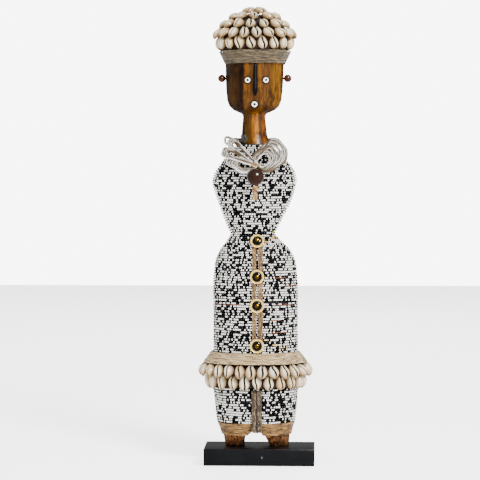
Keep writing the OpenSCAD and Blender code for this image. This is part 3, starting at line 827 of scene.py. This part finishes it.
# %% Turned pieces
def rounded_disc(radius, thick, edge, dome=0.0, steps=5):
    """Half outline of a disc from its back to its front, with rounded edges and a slightly domed face."""
    flat = radius - edge
    out = [(0, 0), (flat, 0)]
    for a in np.linspace(0.3, 1.57, steps):
        out.append((flat + edge * math.sin(a), edge - edge * math.cos(a)))
    for a in np.linspace(0.1, 1.57, steps):
        out.append((flat + edge * math.cos(a), thick - edge + edge * math.sin(a)))
    out += [(f * flat, thick + dome * (1 - f * f)) for f in (0.66, 0.33)]
    return out + [(0, thick + dome)]


def bored_ball(radius, bore, steps=22):
    """Half outline of a ball with a hole along its axis, its hole's edge softened."""
    start = math.asin(min(1, bore / radius * 1.18))
    arc = [(radius * math.sin(a), -radius * math.cos(a)) for a in np.linspace(start, math.pi - start, steps)]
    end = radius * math.cos(start) - 0.25 * MM
    return arc + [(bore, end), (bore, 0.3 * end), (bore, -0.3 * end), (bore, -end)]


def polished_wood(name, light, dark, roughness=0.2, coat=0.5):
    # Turned and waxed wood: fine rings of grain and a high polish.
    material, tree, shader, place = start_material(name, Roughness=roughness, Specular_IOR_Level=0.3,
                                                   Coat_Weight=coat, Coat_Roughness=0.08)
    grain = noise(tree, place, 500, (1, 0.3, 0.12), detail=5, roughness=0.6)
    blotch = noise(tree, place, 130, detail=2)
    colour = mix(tree, blotch, mix(tree, grain, dark, light), dark)
    paint(tree, shader, colour)
    bump(tree, shader, grain, 0.0002, 0.2)
    return material


ebony = polished_wood("oiled_ebony", "#0c0806", "#030202", 0.42, 0.05)
pin_wood = polished_wood("blackened_pin_wood", "#040303", "#010101", 0.7, 0)
ear_wood = polished_wood("waxed_red_wood", "#5c2a10", "#210d06", 0.28)
pendant_wood = polished_wood("waxed_dark_wood", "#351b10", "#120906", 0.22)
peg_wood = polished_wood("oiled_peg_wood", "#241409", "#0e0704", 0.4, 0.2)
bone, tree, shader, place = start_material("polished_bone", Roughness=0.28, Subsurface_Weight=0.05)
paint(tree, shader, mix(tree, noise(tree, place, 700), "#fbf8f0", "#e9e1cf"))
bump(tree, shader, noise(tree, place, 1200), 0.0001, 0.3)

DISC_SHARE = 0.87
TO_THE_FRONT = [(1, 0, 0), (0, 0, 1), (0, -1, 0)]
PIN_STEPS = [(0, 0), (1.8, 0), (1.8, 1.2), (1.55, 1.45), (0.8, 1.6), (0, 1.65)]
for name in ("left_eye_disc", "right_eye_disc", "mouth_disc"):
    low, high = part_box(name)
    radius = DISC_SHARE * (high.x - low.x) / 2
    middle = (low + high) / 2
    half_outline = rounded_disc(radius, high.y - low.y, 0.35 * MM, 0.15 * MM)
    disc = turned(half_outline, 36, 2, (middle.x, high.y, middle.z), TO_THE_FRONT)
    piece_from(name + "_polished", disc, bone, stands_for=[name], smooth_angle=30)
    seat = (middle.x, low.y + 0.9 * MM, middle.z)
    pin = turned([(r * MM, z * MM) for r, z in PIN_STEPS], 16, 2, seat, TO_THE_FRONT)
    piece_from(name.replace("disc", "pin"), pin, pin_wood, stands_for=["face_pins"], smooth_angle=40)
for side in ("left", "right"):
    low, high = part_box(side + "_ear_bead")
    middle = (low + high) / 2
    ball = turned(bored_ball((high.z - low.z) / 2, 1.58 * MM), 44, 0, middle)
    piece_from(side + "_turned_ear", ball, ear_wood, body=side + "_ear_bead", stands_for=[side + "_ear_bead"])
print("face and ears made")


# %% The nose ridge
def nose_ridge():
    low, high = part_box("nose_ridge")
    middle = (low.x + high.x) / 2
    count = 40
    turn = np.linspace(0, np.pi, 13)
    points = []
    for i, f in enumerate(np.linspace(0, 1, count)):
        end = min(1, 5 * f + 0.05, 9 * (1 - f) + 0.3) ** 0.5
        half = (0.5 * (high.x - low.x)) * (1.0 - 0.42 * f) * end
        reach = (high.y - low.y) * (0.98 - 0.18 * f) * end
        z = low.z + (high.z - low.z) * f
        x = middle + (0.35 - 0.5 * (1 - f)) * MM
        back = high.y + 0.8 * MM
        points += [(x + half * math.cos(a), high.y - reach * math.sin(a) ** 0.8, z) for a in turn]
        points += [(x - 0.8 * half, back, z), (x + 0.8 * half, back, z)]
    return np.array(points), [f[::-1] for f in rings_to_faces(count, 15)], None


piece_from("ebony_nose", nose_ridge(), ebony, stands_for=["nose_ridge"], smooth_angle=60)

# %% [markdown]
# ## Cowrie shells
# A cowrie is an egg-shaped shell whose flat side has a long curved slot with small teeth on both lips. The
# domed back is sliced off so that the shell can be sewn down with the slot outwards. One shell is modelled
# as a row of cross-sections with points gathered at the slot, and copies take the place, the direction and
# the size of the CAD shells, each a little different, because no two shells are alike.

# %% One cowrie
def cowrie_prototype(rows=27):
    """A shell in a box from -0.5 to 0.5: length on X, width on Y, and Z from its flat back to its front."""
    across = np.array([-.5, -.485, -.44, -.36, -.27, -.19, -.135, -.095, -.06, -.025,
                       .025, .06, .095, .135, .19, .27, .36, .44, .485, .5])
    points, marks = [], []
    for f in np.linspace(-1, 1, rows):
        f = f * 0.985
        half = 0.5 * (1 - abs(f) ** 1.95) ** 0.72 * (1 - 0.18 * f)
        rise = (1 - abs(f) ** 2.6) ** 0.6
        middle = 0.1 * math.sin(2.8 * f) - 0.045
        open_here = max(0.0, 1 - abs(f) ** 5)
        tooth = math.cos(math.pi * 13 * f)
        for o in across:
            y = middle * (1 - (2 * o) ** 2) + 2 * o * half
            away = abs(y - middle * (1 - (2 * o) ** 2))
            dome = rise * (1 - (2 * abs(o)) ** 2.6) ** 0.55
            groove = math.exp(-(away / 0.085) ** 2) * open_here
            lip = math.exp(-((away - 0.16) / 0.055) ** 2) * open_here
            z = dome * (1 - 0.7 * groove) + 0.04 * lip * rise + 0.03 * tooth * lip
            points.append((0.5 * f, y, z - 0.5))
            # Red: painted shade in the slot and between the teeth. Green: the tan sides, with painted shade
            # where the dome falls away.
            marks.append((max(groove, 0.32 * lip * max(0, tooth)), 1 - min(1, dome) ** 1.5, 0))
        for side in (0.9, 0.3, -0.3, -0.9):
            points.append((0.5 * f, side * half * 0.98, -0.5))
            marks.append((0, 1, 0))
    faces = [f[::-1] for f in rings_to_faces(rows, len(across) + 4)]
    return np.array(points), faces, np.array(marks)


def top_shells(node, count=5):
    """The crowning shells lie close together, so their places are worked out round the middle of the ring."""
    low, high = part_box(node)
    middle = (low + high) / 2
    found = []
    for k in range(count):
        a = 2 * math.pi * (k + 0.25) / count
        out = np.array([math.cos(a), math.sin(a), 0])
        slope = math.radians(16)
        long = out * math.cos(slope) - np.array([0, 0, math.sin(slope)])
        thick = out * math.sin(slope) + np.array([0, 0, math.cos(slope)])
        axes = np.array([long, np.cross(thick, long), thick])
        half = np.array([9.4, 7.0, 3.5]) * MM
        found.append((np.array(middle) + out * 11 * MM, axes, -half, half, None))
    return found


def shells_at(node, up_from, fan=0.0, slim=(1.0, 1.0)):
    """One place per CAD shell, with the slot turned away from the point or axis given.
    fan swings the lower tips outwards, to the left on the left side and to the right on the right."""
    places = []
    for centre, axes, low, high, points in (top_shells(node) if node.endswith("5") else islands(node)):
        long, wide, thick = axes
        size = high - low
        outward = centre - np.array([AXIS.x, AXIS.y, up_from if up_from else centre[2]])
        if thick @ outward < 0:
            thick = -thick
        middle = centre + axes.T @ ((low + high) / 2)
        if long[2] < 0:
            long = -long
        if rng.random() < 0.3:
            long = -long
        swing = np.array([outward[0], 0, 0]) / max(1e-6, math.hypot(outward[0], outward[1]))
        long = long - fan * swing * (1 if long[2] > 0 else -1)
        long -= thick * (thick @ long)
        long /= np.linalg.norm(long)
        wide = np.cross(thick, long)
        tilt = rng.normal(0, (0.13, 0.09))
        long = long + wide * tilt[0]
        long /= np.linalg.norm(long)
        thick = thick + wide * tilt[1]
        thick -= long * (thick @ long)
        thick /= np.linalg.norm(thick)
        wide = np.cross(thick, long)
        vary = rng.uniform([0.9, 0.86, 0.94], [1.06, 1.02, 1.08]) * [slim[0], slim[1], 1]
        places.append(np.concatenate([np.stack([long, wide, thick], -1) * (size * vary), middle[:, None]], 1))
    return np.array(places)


def cowrie_shell():
    # Shell porcelain: cream with tan sides and a natural glaze. Painted shade darkens the slot and the gaps
    # between its teeth, and deepens the tan at the rim where the shell curves away.
    material, tree, shader, place = start_material(
        "glazed_cowrie_shell", Roughness=0.32, Subsurface_Weight=0.04, Coat_Weight=0.3, Coat_Roughness=0.12
    )
    marks = marks_of(tree)
    patch = noise(tree, place, 160, detail=4)
    body = mix(tree, patch, "#faf3e2", "#dcc69a")
    body = mix(tree, marks["Blue"], body, mix(tree, patch, "#f0dfb8", "#b58f55"))
    # The rim is the shell's own tan sides, made darker with painted shade where the dome falls away.
    rim = calc(tree, "POWER", marks["Green"], 0.75)
    body = mix(tree, rim, body, mix(tree, patch, "#7a5826", "#38240e"))
    # Painted shade in the slot and between the teeth.
    slot = span(tree, marks["Red"], 0.16, 0.5)
    paint(tree, shader, mix(tree, slot, body, "#140b06"))
    bump(tree, shader, noise(tree, place, 500, detail=2), 0.0002, 0.3)
    return material


shell_glaze = cowrie_shell()
cowrie = cowrie_prototype()
cap_rows = [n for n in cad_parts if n.startswith("cap_cowries_row")]
cap_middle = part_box("cap_dome")[0].z + 0.004
for node in sorted(cap_rows):
    inside = cap_middle if node[-1] not in "1" else None
    places = shells_at(node, inside, fan=0.0 if node[-1] in "15" else 0.55)
    piece_from(node + "_shells", stamped(cowrie, places), shell_glaze, stands_for=[node])
for node, slim in (("fringe_upper_cowries", (1.06, 1.02)), ("fringe_lower_cowries", (1.14, 1.0))):
    piece_from(node + "_shells", stamped(cowrie, shells_at(node, None, slim=slim)), shell_glaze,
               stands_for=[node])

# %% [markdown]
# ## Wound twine
# The foot of the cap, the skirt band and the cuffs are one long twine wound round in close turns, as on a
# rope handle. Each is a single sweep of a thin two-ply twine along a helix that follows the CAD band's
# outside. The path is the real winding, so its turns slope a little, and a chance wobble keeps them from
# looking machined.

# %% Twine and bands
def twine_fibre(name, light, mid, dark, lie=(0.22, 0.22, 1.7), rough=0.85):
    # Twisted plant fibre: matt, flecked light and dark every millimetre or two, with painted shade in
    # the lay.
    material, tree, shader, place = start_material(name, Roughness=rough, Sheen_Weight=0.15)
    marks = marks_of(tree)
    fleck = noise(tree, place, 420, lie, detail=3, roughness=0.75)
    colour = ramp(tree, fleck, [(0.37, dark), (0.63, light), (0.5, mid)])
    patch = noise(tree, place, 60, detail=2)
    colour = mix(tree, 0.5, colour, ramp(tree, patch, [(0.3, "#b5a894"), (0.65, "#ffffff")]), "MULTIPLY")
    # Painted shade in the lay between the plies, from the sweep's red mark.
    groove = calc(tree, "MULTIPLY", marks["Red"], 0.8)
    paint(tree, shader, mix(tree, groove, colour, dark))
    bump(tree, shader, noise(tree, place, 1100, detail=2), 0.0004, 0.7)
    return material


grey_twine = twine_fibre("grey_plant_twine", "#83714d", "#52432a", "#171006")
tan_twine = twine_fibre("tan_plant_twine", "#cfa050", "#8a6126", "#2c1804")
skirt_twine = twine_fibre("pale_plant_twine", "#ecd9b0", "#c2a676", "#4a3418")
placket_twine = twine_fibre("laid_plant_twine", "#c39a60", "#86633a", "#241506", (1.2, 1.2, 0.12))
divider_twine = twine_fibre("weathered_twine", "#8f7650", "#503c24", "#0e0a04", (1.2, 1.2, 0.12))
cotton_thread = twine_fibre("aged_cotton_thread", "#8a6d45", "#5a4326", "#241708", (1, 1, 1))
straw_fibre = twine_fibre("raw_straw_fibre", "#d8b271", "#9a7136", "#42280c", (1, 1, 0.4))


def winding(node, turns, thick, centre=None, step=1.1 * MM, drop=0.0):
    low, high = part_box(node)
    middle = centre or AXIS
    radius = thick / 2
    heights = np.linspace(low.z + radius, high.z - radius, 14)
    rings = np.array([outline(node, h, centre=middle) for h in heights])
    around = rings.mean() * 2 * np.pi
    count = int(turns * around / step)
    turn = np.linspace(0, 2 * np.pi * turns, count)
    level = np.linspace(0, len(heights) - 1.001, count)
    level = np.clip(level + 0.12 * np.sin(turn * 0.37 + 1.0) + 0.1 * np.sin(turn * 3.1), 0,
                    len(heights) - 1.001)
    lower = level.astype(int)
    part = level - lower
    column = (turn % (2 * np.pi)) / (2 * np.pi) * AROUND
    left = column.astype(int) % AROUND
    share = column - column.astype(int)
    right = (left + 1) % AROUND
    reach = (rings[lower, left] * (1 - share) + rings[lower, right] * share) * (1 - part) + (
        rings[lower + 1, left] * (1 - share) + rings[lower + 1, right] * share) * part
    reach = reach - radius + 0.12 * MM * np.sin(turn * 5.7)
    z = np.interp(level, np.arange(len(heights)), heights) - drop * (1 - level / (len(heights) - 1))
    path = np.stack([middle[0] + reach * np.cos(turn), middle[1] + reach * np.sin(turn), z], -1)
    return sweep(path, radius, 8, 2, 3.2 * MM, 0.3)


piece_from("cap_wound_band", winding("cap_band", 11, 2.0 * MM, drop=2.6 * MM), grey_twine,
           stands_for=["cap_band"])
piece_from("skirt_wound_band", winding("skirt_band", 11, 2.05 * MM, step=1.3 * MM), skirt_twine,
           stands_for=["skirt_band"])
for side in ("left", "right"):
    low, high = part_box(side + "_cuff")
    centre = ((low.x + high.x) / 2, (low.y + high.y) / 2)
    piece_from(side + "_wound_cuff", winding(side + "_cuff", 10, 2.0 * MM, centre=centre), tan_twine,
               stands_for=[side + "_cuff"])

# %% [markdown]
# ## Dark fibre under the shells
# The cap and the fringe's backing are pads of dark coconut-like fibre. They show only in the gaps between
# the shells, so the CAD shape is kept and given a shaggy, almost black brown finish.

# %% Finishes for the CAD pieces that stay in view
fibre, tree, shader, place = start_material("dark_coir_fibre", Roughness=0.95)
hair = noise(tree, place, 500, (1, 1, 0.25), detail=5, roughness=0.8)
paint(tree, shader, ramp(tree, hair, [(0.35, "#0d0805"), (0.75, "#4a2f1c"), (0.55, "#22140b")]))
bump(tree, shader, hair, 0.0015, 0.9)
steel = two_shades("drawn_steel", "#8c8f92", "#6d7073", 800, Metallic=1, Roughness=0.35)
dark_twine = twine_fibre("dark_twine", "#33281b", "#1e160d", "#080604", (1, 1, 1))
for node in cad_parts.values():
    node.data.materials.clear()
    node.data.materials.append(fibre)
for name, material in (("foot_screws", steel), ("left_ear_peg", peg_wood), ("right_ear_peg", peg_wood)):
    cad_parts[name].data.materials[0] = material
print("CAD pieces finished")

# %% [markdown]
# ## The dark knot, and threads between the rows
# At the left of the neck's foot sits a tied knot of dark twine: a path that goes round twice and over
# itself, with a laid twine swept along it. Lower down, a few runs of rust-dyed thread lie on the wrap
# where no bead covers them.

# %% The knot at the foot of the neck
low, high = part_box("neck_knot")
turn = np.linspace(0, 4 * np.pi, 90)
swell = 0.5 + 0.5 * np.cos(1.5 * turn)
knot_reach = 0.5 * np.array(high - low - Vector((2.6, 2.6, 2.6)) * MM)
knot_path = np.array((low + high) / 2) + knot_reach * np.stack([
    (0.45 + 0.55 * swell) * np.cos(turn), (0.45 + 0.55 * swell) * np.sin(turn), np.sin(1.5 * turn)], -1)
piece_from("neck_tied_knot", sweep(knot_path, 1.5 * MM, 8, 2, 4 * MM, 0.3), dark_twine,
           stands_for=["neck_knot"])

# %% Threads left showing between the rows
first_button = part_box("button_disc_1")
opening = (first_button[0] + first_button[1]) / 2
bare_threads = []
for down, start, end in ((85.4, -57, -20), (85.6, 20, 50), (60, 36, 56), (107, 20, 31), (123.5, 13, 40),
                         (49.6, 25, 38)):
    level = opening.z - down * MM
    ring = outline("hip_bead_wrap", level)
    front = (TURN > np.pi) & (TURN < 2 * np.pi)
    across, deep = AXIS.x + ring * np.cos(TURN), AXIS.y + (ring - 0.5 * MM) * np.sin(TURN)
    x = opening.x + np.linspace(start, end, 30) * MM
    y = np.interp(x, across[front], deep[front])
    bare_threads.append(sweep(np.stack([x, y, level + 0.3 * MM * np.sin(x * 260)], -1), 0.42 * MM, 5,
                              up=(0, 0, 1)))
rust_thread = twine_fibre("rust_dyed_thread", "#a4562f", "#7c3a1e", "#3c1a0c", (1, 1, 1))
piece_from("bare_threads", joined(bare_threads), rust_thread, stands_for=["hip_bead_wrap"])

# %% [markdown]
# ## The block
# A sawn hardwood block, its edges taken off, sprayed with black lacquer and rubbed smooth. It is a box
# whose edges are bevelled with three segments, so that they catch a line of light.

# %% Lacquered block
def lacquered_block():
    low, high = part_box("base_block")
    bpy.ops.object.select_all(action="DESELECT")
    bpy.ops.mesh.primitive_cube_add(size=1, location=(low + high) / 2)
    obj = bpy.context.object
    obj.name = "lacquered_block"
    obj.scale = high - low
    bpy.ops.object.transform_apply(location=True, scale=True)
    modifier = obj.modifiers.new("soft_edges", "BEVEL")
    modifier.width = 0.9 * MM
    modifier.segments = 3
    bpy.ops.object.modifier_apply(modifier="soft_edges")
    return obj


lacquer, tree, shader, place = start_material("black_lacquer", Roughness=0.3, Specular_IOR_Level=0.35)
smudge = noise(tree, place, 40, (1, 1, 2), detail=4)
chips = noise(tree, place, 260, detail=2)
base_tone = mix(tree, smudge, "#040405", "#0d0e11")
chip = ramp(tree, chips, [(0.82, "#000000"), (0.85, "#ffffff")])
drawn_out = add(tree, "ShaderNodeVectorMath", {0: place, 1: (2.2, 1, 0.8)}, operation="MULTIPLY").outputs[0]
nick_place = (2.2 * 0.004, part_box("base_block")[0].y, 0.8 * 0.0115)
nick = add(tree, "ShaderNodeVectorMath", {0: drawn_out, 1: nick_place}, operation="DISTANCE")
nicked = span(tree, nick.outputs["Value"], 1.5 * MM, 0.7 * MM)
nicked = calc(tree, "MULTIPLY", nicked, noise(tree, place, 900))
base_tone = mix(tree, nicked, base_tone, "#a8a8a4")
paint(tree, shader, mix(tree, chip, base_tone, "#8a8a88"))
bump(tree, shader, smudge, 0.0004, 0.15)
finish_piece(lacquered_block(), lacquer, stands_for=["base_block"], smooth_angle=30)

# %% [markdown]
# ## Buttons
# Four shank buttons close the front: a dished cream disc with a gilt edge, a black glossy dome in the
# dish, and a brass stud through both. Each is turned from its outline, and takes its place and tilt from
# the CAD disc.

# %% Four buttons
gilt = two_shades("cream_and_gold_enamel", "#f3d37c", "#cf9f42", 300, Roughness=0.3, Metallic=0.1,
                  Specular_IOR_Level=0.4)
jet = two_shades("black_enamel", "#030304", "#0a0b0f", 300, Roughness=0.12, Specular_IOR_Level=0.3,
                 Coat_Weight=0.1)
brass = two_shades("polished_brass", "#e8b530", "#b5841c", 500, Metallic=1, Roughness=0.2)

dish = [(2.3, 0.1), (7.6, 0.0), (9.1, 0.9), (9.5, 2.0), (9.3, 2.75), (8.9, 3.0), (8.5, 2.85),
        (7.9, 2.35), (7.2, 2.1), (2.3, 2.1)]
dome = [(2.2, 0.0), (6.7, 0.0), (7.0, 0.5), (6.7, 1.5), (5.8, 2.5), (4.4, 3.2), (2.9, 3.55), (2.2, 3.6)]
stud = [(0, -2.0), (2.0, -2.0), (2.0, 3.3), (2.6, 3.55), (2.75, 3.9), (2.4, 4.6), (1.4, 5.1), (0, 5.3)]
for k in range(1, 5):
    centre, axes, low, high, points = islands("button_disc_%d" % k)[0]
    outward = axes[2] if axes[2][1] < 0 else -axes[2]
    across = np.cross((0, 0, 1), outward)
    across /= np.linalg.norm(across)
    directions = np.array([across, np.cross(outward, across), outward])
    back = centre - outward * 1.5 * MM
    parts = (("disc", dish, gilt, 0.0, "button_disc_%d" % k), ("dome", dome, jet, 2.15, "button_dome_%d" % k),
             ("stud", stud, brass, 2.15, "button_studs"))
    for part, outline_mm, material, lift, node in parts:
        shape = turned([(r * MM, z * MM) for r, z in outline_mm], 48, 2, back + outward * lift * MM,
                       directions)
        piece_from("%s_%d_turned" % (part, k), shape, material, stands_for=[node], smooth_angle=50)

# %% [markdown]
# ## Twines down the front
# Two laid twines edge the opening on each side, and two more run down each side of the slit between the
# legs. Each is a pair of thin two-ply twines, laid side by side along the middle line of its CAD twine,
# and a dark cord lies behind them in the slit.

# %% Placket and divider twines
def middle_lines(node):
    lines = []
    for centre, axes, low, high, points in islands(node):
        order = points[np.argsort(points[:, 2])]
        groups = np.array_split(order, max(3, int((order[-1, 2] - order[0, 2]) / (8 * MM))))
        line = [g.mean(0) for g in groups]
        line[0] = line[0] * [1, 1, 0] + [0, 0, order[0, 2]]
        line[-1] = line[-1] * [1, 1, 0] + [0, 0, order[-1, 2]]
        lines.append(smooth_curve(line, 0.7 * MM))
    return lines


for node in ("placket_left_twine", "placket_right_twine", "leg_divider_left_twine",
             "leg_divider_right_twine"):
    shapes = []
    for line in middle_lines(node):
        line = line + np.stack([0.25 * MM * np.sin(line[:, 2] * 700 + line[0, 0] * 9e3), 0 * line[:, 0],
                                0 * line[:, 0]], -1)
        for side in (-0.78, 0.78):
            beside = line + np.array([side * MM, 0, 0])
            thickness = (0.86 if "divider" in node else 0.72) * MM
            shapes.append(sweep(beside, thickness, 8, 2, 7 * MM, 0.2, up=(0, -1, 0)))
    piece_from(node + "_laid", joined(shapes), divider_twine if "divider" in node else placket_twine,
               stands_for=[node])
cord = middle_lines("leg_divider_dark_cord")[0] + np.array([0, 1.9 * MM, 0])
piece_from("slit_filling_cord", sweep(cord, 2.4 * MM, 10, 3, 5 * MM, 0.2, up=(0, -1, 0)), fibre,
           stands_for=["leg_divider_dark_cord"])

# %% [markdown]
# ## The necklace
# A long string of white beads is folded into two hanks, one to each side, and gathered by a tie on the
# chest, from which the pendant hangs. Each loop is a curve through a few places on the chest, and the
# loops of a hank are drawn together towards the tie. Small beads follow every curve, hole along the
# string.

# %% Necklace loops
TIE = own(4.2, -56.5, 383.5)
RIGHT_LOOP = [(4.9, -56, 385.6), (0.4, -52, 392.4), (1.2, -45, 399), (8.3, -36, 405.5),
              (15.5, -28, 412), (23, -23, 418.6), (32.5, -24, 418.2), (39.0, -28, 411.1),
              (44.4, -33, 401.8), (42.0, -39, 391), (35.0, -45, 382.2), (24.9, -50, 377.4),
              (14.9, -54, 375.8)]
LEFT_HIGH = [(-4.8, -52, 394.9), (-14.6, -41, 405.9), (-23.1, -31, 415.4), (-31.0, -27, 420.8),
             (-37.0, -27, 419.6), (-38.0, -29, 414.3), (-30.2, -36, 406.5), (-18.5, -45, 397.4),
             (-6.0, -54, 389.3)]
LEFT_LOW = [(-5.9, -55, 388.3), (-21.1, -48, 392.3), (-32.0, -42, 390.4), (-34.0, -42, 384.9),
            (-27.3, -47, 379.4), (-16.9, -52, 375.3), (-4.6, -57, 376.6)]
LEFT_MIDDLE = [(-6, -54, 389.7), (-19.8, -45, 399.1), (-31, -38, 404.8), (-39.5, -33.5, 407),
               (-42.6, -32.5, 402.6), (-41, -37, 395.6), (-30, -43.5, 393.4), (-18.2, -49, 390.6),
               (-4.6, -56, 385)]


def strand(points):
    """Beads threaded along a curve, hole along it."""
    path = smooth_curve(points, BEAD_LONG * 0.98)
    along = unit(np.gradient(path, axis=0))
    side = unit(np.cross(along, (0.3, -1, 0.2)))
    third = np.cross(along, side)
    sway = np.linspace(0, 9, len(path))[:, None]
    beside = path + (side * 1.35 + third * 0.9 * np.sin(sway)) * MM
    thread_cores.append(sweep(beside, 0.34 * MM, 5, up=(0.2, -1, 0.3)))
    scale = rng.normal(1.12, 0.03, len(path)).clip(1.03, 1.2)
    frames = np.stack([along, side * 1.2, third * 1.2], -1) * scale[:, None, None]
    return np.concatenate([frames, path[..., None]], -1)


def hank(loop, shares, sink):
    """Loops drawn in towards the tie, one inside another, the inner ones lying on top."""
    places, lengths = [], []
    for share in shares:
        outer = np.array([own(*p) for p in loop])
        points = TIE + (outer - TIE) * share
        wander = rng.normal(0, 0.9 * MM, points.shape)
        wander[0] = wander[-1] = 0
        points = points + wander
        points[:, 1] -= sink * (1 - share)
        beads = strand(np.vstack([TIE[None] + rng.normal(0, 1.4 * MM, 3), points,
                                  TIE[None] + rng.normal(0, 1.4 * MM, 3)]))
        places.append(beads)
        lengths.append(len(beads) * BEAD_LONG)
    return places, lengths


thread_cores = []
right_places, right_lengths = hank(RIGHT_LOOP, (1.0, 0.945, 0.89, 0.835, 0.78, 0.72, 0.66, 0.6, 0.53, 0.46),
                                   0.007)
high_places, high_lengths = hank(LEFT_HIGH, (1.0, 0.94, 0.87, 0.8), 0.004)
low_places, low_lengths = hank(LEFT_LOW, (1.0, 0.92, 0.84, 0.75, 0.66), 0.005)
middle_places, middle_lengths = hank(LEFT_MIDDLE, (1.0, 0.94, 0.88, 0.8, 0.7), 0.004)
piece_from("necklace_right_hank", stamped(seed_bead, np.concatenate(right_places)), hank_glass,
           stands_for=["necklace_right_loops"])
left_places = np.concatenate(high_places + low_places + middle_places)
piece_from("necklace_left_hank", stamped(seed_bead, left_places), hank_glass,
           stands_for=["necklace_left_loops"])
back_places = []
for lift, out in ((416, 27.5), (419, 29), (418, 32), (415, 31)):
    arc = [own(out * math.cos(math.radians(a)), 2 + (out - 1.5) * math.sin(math.radians(a)), lift)
           for a in range(-38, 219, 16)]
    back_places.append(strand(arc))
piece_from("necklace_back_beads", stamped(seed_bead, np.concatenate(back_places)), hank_glass,
           stands_for=["necklace_back_strands"])
piece_from("necklace_thread", joined(thread_cores), cotton_thread, stands_for=["necklace_right_loops"])
all_lengths = right_lengths + high_lengths + low_lengths + middle_lengths
print("strand lengths in m:", [round(v, 3) for v in all_lengths])

# %% [markdown]
# ## Tie and pendant
# A short twine is whipped round the gathered strands, and the pendant hangs from it: a loop, a turned
# dark bead, a knot, and a frayed end of raw fibre. The bead turns on its cord and the pendant swings, so
# each rides on its own body.

# %% Tie and pendant
low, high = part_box("necklace_tie")
pivot = (low + high) / 2
turn = np.linspace(0, 2 * np.pi * 7, 240)
coil = np.stack([pivot.x + np.linspace(-6.2, 6.2, 240) * MM, pivot.y + 2.2 * MM * np.cos(turn),
                 pivot.z + 2.2 * MM * np.sin(turn)], -1)
outer = np.abs(coil[:, 0] - pivot.x) > 1.9 * MM
coil[~outer, 1] = pivot.y + 0.5 * MM * np.cos(turn[~outer])
coil[~outer, 2] = pivot.z + 0.5 * MM * np.sin(turn[~outer])
piece_from("whipped_tie", sweep(coil, 0.6 * MM, 7, up=(1, 0.01, 0)), straw_fibre, stands_for=["necklace_tie"])
low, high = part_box("pendant_bead")
ball = turned(bored_ball((high.z - low.z) / 2, 1.9 * MM, 30), 56, 2, (low + high) / 2)
piece_from("turned_pendant_bead", ball, pendant_wood, body="pendant_bead", stands_for=["pendant_bead"])
cord_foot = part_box("pendant_cord")[0].z
turn = np.linspace(0, 2 * np.pi, 40, endpoint=False)
loop = np.stack([np.full(40, pivot.x), pivot.y + 2.3 * MM * np.cos(turn),
                 pivot.z + 2.3 * MM * np.sin(turn)], -1)
shapes = [sweep(loop, 0.95 * MM, 8, 2, 2.4 * MM, 0.2, closed=True, up=(1, 0, 0))]
stem_heights = np.linspace(cord_foot, pivot.z - 2.4 * MM, 60)
stem = np.stack([np.full(60, pivot.x), np.full(60, pivot.y), stem_heights], -1)
shapes.append(sweep(stem, 1.5 * MM, 9, 3, 3.2 * MM, 0.2, up=(0, -1, 0)))
piece_from("pendant_laid_cord", joined(shapes), straw_fibre, body="pendant", stands_for=["pendant_cord"])
low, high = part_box("pendant_knot")
knot_middle = (low + high) / 2
knots = []
for radius, lift, tip in ((3.3, 1.9, 0.25), (3.6, 0.0, -0.3), (3.1, -1.9, 0.2)):
    turn = np.linspace(0, 2 * np.pi, 44, endpoint=False)
    ring = np.stack([knot_middle.x + radius * MM * np.cos(turn), knot_middle.y + radius * MM * np.sin(turn),
                     knot_middle.z + (lift + tip * 3 * np.cos(turn)) * MM], -1)
    knots.append(sweep(ring, 1.45 * MM, 9, 3, 3.4 * MM, 0.25, closed=True))
piece_from("pendant_tied_knot", joined(knots), straw_fibre, body="pendant", stands_for=["pendant_knot"])
low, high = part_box("pendant_tail")
fibres = []
for i in range(46):
    a = rng.uniform(0, 2 * math.pi)
    spread = rng.uniform(0.2, 1.0)
    foot = Vector((pivot.x + 4.2 * MM * spread * math.cos(a), pivot.y + 4.2 * MM * spread * math.sin(a),
                   low.z + rng.uniform(0, 3.5) * MM))
    top = Vector((pivot.x + 1.6 * MM * spread * math.cos(a), pivot.y + 1.6 * MM * spread * math.sin(a),
                  high.z + 0.5 * MM))
    bow = (foot + top) / 2 + Vector((math.cos(a), math.sin(a), 0)) * rng.uniform(0, 1.0) * MM
    fibres.append(sweep(smooth_curve([top, bow, foot], 1.2 * MM), 0.42 * MM, 5, up=(1, 0.1, 0)))
piece_from("pendant_frayed_tail", joined(fibres), straw_fibre, body="pendant", stands_for=["pendant_tail"])
